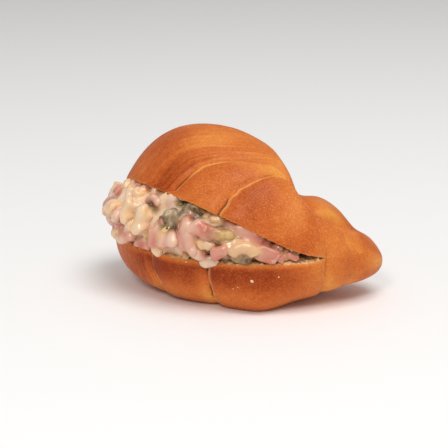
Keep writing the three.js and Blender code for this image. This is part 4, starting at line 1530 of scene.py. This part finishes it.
class ROLL_OT_ham(bpy.types.Operator):
    """Makes the dice and slices of ham"""

    bl_idname = "filled_roll.ham"
    bl_label = "Ham"

    def execute(self, context):
        settings = context.scene.filled_roll_salad
        pale = blended(settings.ham, settings.cream, 0.55)
        place_kind(context, "ham", mottled_food_material("cooked_ham_diced", settings.ham, pale, 2.5, 0.32))
        return {"FINISHED"}


class ROLL_OT_pasta(bpy.types.Operator):
    """Makes the elbows of pasta"""

    bl_idname = "filled_roll.pasta"
    bl_label = "Pasta"

    def execute(self, context):
        settings = context.scene.filled_roll_salad
        pale = blended(settings.pasta, settings.cream, 0.5)
        material = mottled_food_material("boiled_durum_pasta", settings.pasta, pale, 4, 0.3)
        place_kind(context, "pasta", material)
        return {"FINISHED"}


class ROLL_OT_mushroom(bpy.types.Operator):
    """Makes the slices of mushroom"""

    bl_idname = "filled_roll.mushroom"
    bl_label = "Mushroom"

    def execute(self, context):
        settings = context.scene.filled_roll_salad
        material = mottled_food_material(
            "boiled_mushroom_sliced", settings.mushroom, settings.gills, 3.2, 0.35)
        place_kind(context, "mushroom", material)
        return {"FINISHED"}


class ROLL_OT_pickle(bpy.types.Operator):
    """Makes the bits of pickle"""

    bl_idname = "filled_roll.pickle"
    bl_label = "Pickle"

    def execute(self, context):
        settings = context.scene.filled_roll_salad
        pale = blended(settings.pickle, settings.cream, 0.4)
        material = mottled_food_material("pickled_gherkin_diced", settings.pickle, pale, 2, 0.25)
        place_kind(context, "pickle", material)
        return {"FINISHED"}


class ROLL_OT_dressing(bpy.types.Operator):
    """Makes the creamy dressing that holds the salad together"""

    bl_idname = "filled_roll.dressing"
    bl_label = "Dressing"

    def execute(self, context):
        settings = context.scene.filled_roll_salad
        points, faces, marks = dressing(settings)
        mesh = make_mesh("dressing", points, faces, marks, MM)
        shade_smooth(mesh)
        place_piece("dressing", mesh, "filling", "salad", dressing_material(settings))
        return {"FINISHED"}


class ROLL_OT_stage(bpy.types.Operator):
    """Makes the plain floor, the soft light and the camera at the photograph's viewing angle"""

    bl_idname = "filled_roll.stage"
    bl_label = "Stage"

    def execute(self, context):
        settings = context.scene.filled_roll_stage
        scene = context.scene
        scene.view_settings.view_transform = "Standard"
        half = FLOOR_SIZE / 2
        corners = [(-half, -half, 0), (half, -half, 0), (half, half, 0), (-half, half, 0)]
        mesh = make_mesh("floor", corners, [(0, 1, 2, 3)])
        floor = bpy.data.objects.new("floor", mesh)
        scene.collection.objects.link(floor)
        material, _, shader = new_material("pale_floor")
        shader.inputs["Base Color"].default_value = opaque(settings.floor)
        shader.inputs["Roughness"].default_value = 0.7
        mesh.materials.append(material)

        world = bpy.data.worlds.new("surround")
        world.use_nodes = True
        background = world.node_tree.nodes["Background"]
        background.inputs["Color"].default_value = (1, 1, 1, 1)
        background.inputs["Strength"].default_value = settings.surround
        scene.world = world
        self.add_light(scene, "key", KEY_LIGHT_AT, KEY_LIGHT_SIZE, settings.key_power)
        self.add_light(scene, "fill", FILL_LIGHT_AT, FILL_LIGHT_SIZE, settings.fill_power)

        camera = bpy.data.objects.new("camera", bpy.data.cameras.new("camera"))
        scene.collection.objects.link(camera)
        rise = math.radians(VIEW_ELEVATION)
        back = Vector((0, -math.cos(rise), math.sin(rise)))
        camera.location = (Vector(AIM) + back * VIEW_DISTANCE) * MM
        camera.rotation_mode = "QUATERNION"
        camera.rotation_quaternion = (-back).to_track_quat("-Z", "Y")
        camera.data.lens = LENS
        camera.data.sensor_width = SENSOR
        camera.data.clip_start = 0.01
        scene.camera = camera
        return {"FINISHED"}

    def add_light(self, scene, name, place, size, power):
        """A soft square light that faces the roll."""
        light = bpy.data.lights.new(name, "AREA")
        light.size = size
        light.energy = power
        lamp = bpy.data.objects.new(name, light)
        scene.collection.objects.link(lamp)
        lamp.location = place
        facing = Vector(LIT_POINT) - Vector(place)
        lamp.rotation_mode = "QUATERNION"
        lamp.rotation_quaternion = facing.to_track_quat("-Z", "Y")


OPERATORS = (
    ROLL_OT_bread, ROLL_OT_crumbs, ROLL_OT_ham, ROLL_OT_pasta,
    ROLL_OT_mushroom, ROLL_OT_pickle, ROLL_OT_dressing, ROLL_OT_stage,
)


class ROLL_PT_panel(bpy.types.Panel):
    """Lists the parts of the roll"""

    bl_label = "Filled roll"
    bl_idname = "ROLL_PT_panel"
    bl_space_type = "VIEW_3D"
    bl_region_type = "UI"
    bl_category = "Filled Roll"

    def draw(self, context):
        for operator in OPERATORS:
            self.layout.operator(operator.bl_idname)


CLASSES = (BreadSettings, SaladSettings, StageSettings, *OPERATORS, ROLL_PT_panel)


def register():
    for each in CLASSES:
        bpy.utils.register_class(each)
    bpy.types.Scene.filled_roll_bread = PointerProperty(type=BreadSettings)
    bpy.types.Scene.filled_roll_salad = PointerProperty(type=SaladSettings)
    bpy.types.Scene.filled_roll_stage = PointerProperty(type=StageSettings)


def unregister():
    del bpy.types.Scene.filled_roll_stage
    del bpy.types.Scene.filled_roll_salad
    del bpy.types.Scene.filled_roll_bread
    for each in reversed(CLASSES):
        bpy.utils.unregister_class(each)


def main():
    register()
    bpy.ops.filled_roll.bread()
    bpy.ops.filled_roll.crumbs()
    bpy.ops.filled_roll.ham()
    bpy.ops.filled_roll.pasta()
    bpy.ops.filled_roll.mushroom()
    bpy.ops.filled_roll.pickle()
    bpy.ops.filled_roll.dressing()
    bpy.ops.filled_roll.stage()


if __name__ == "__main__":
    main()
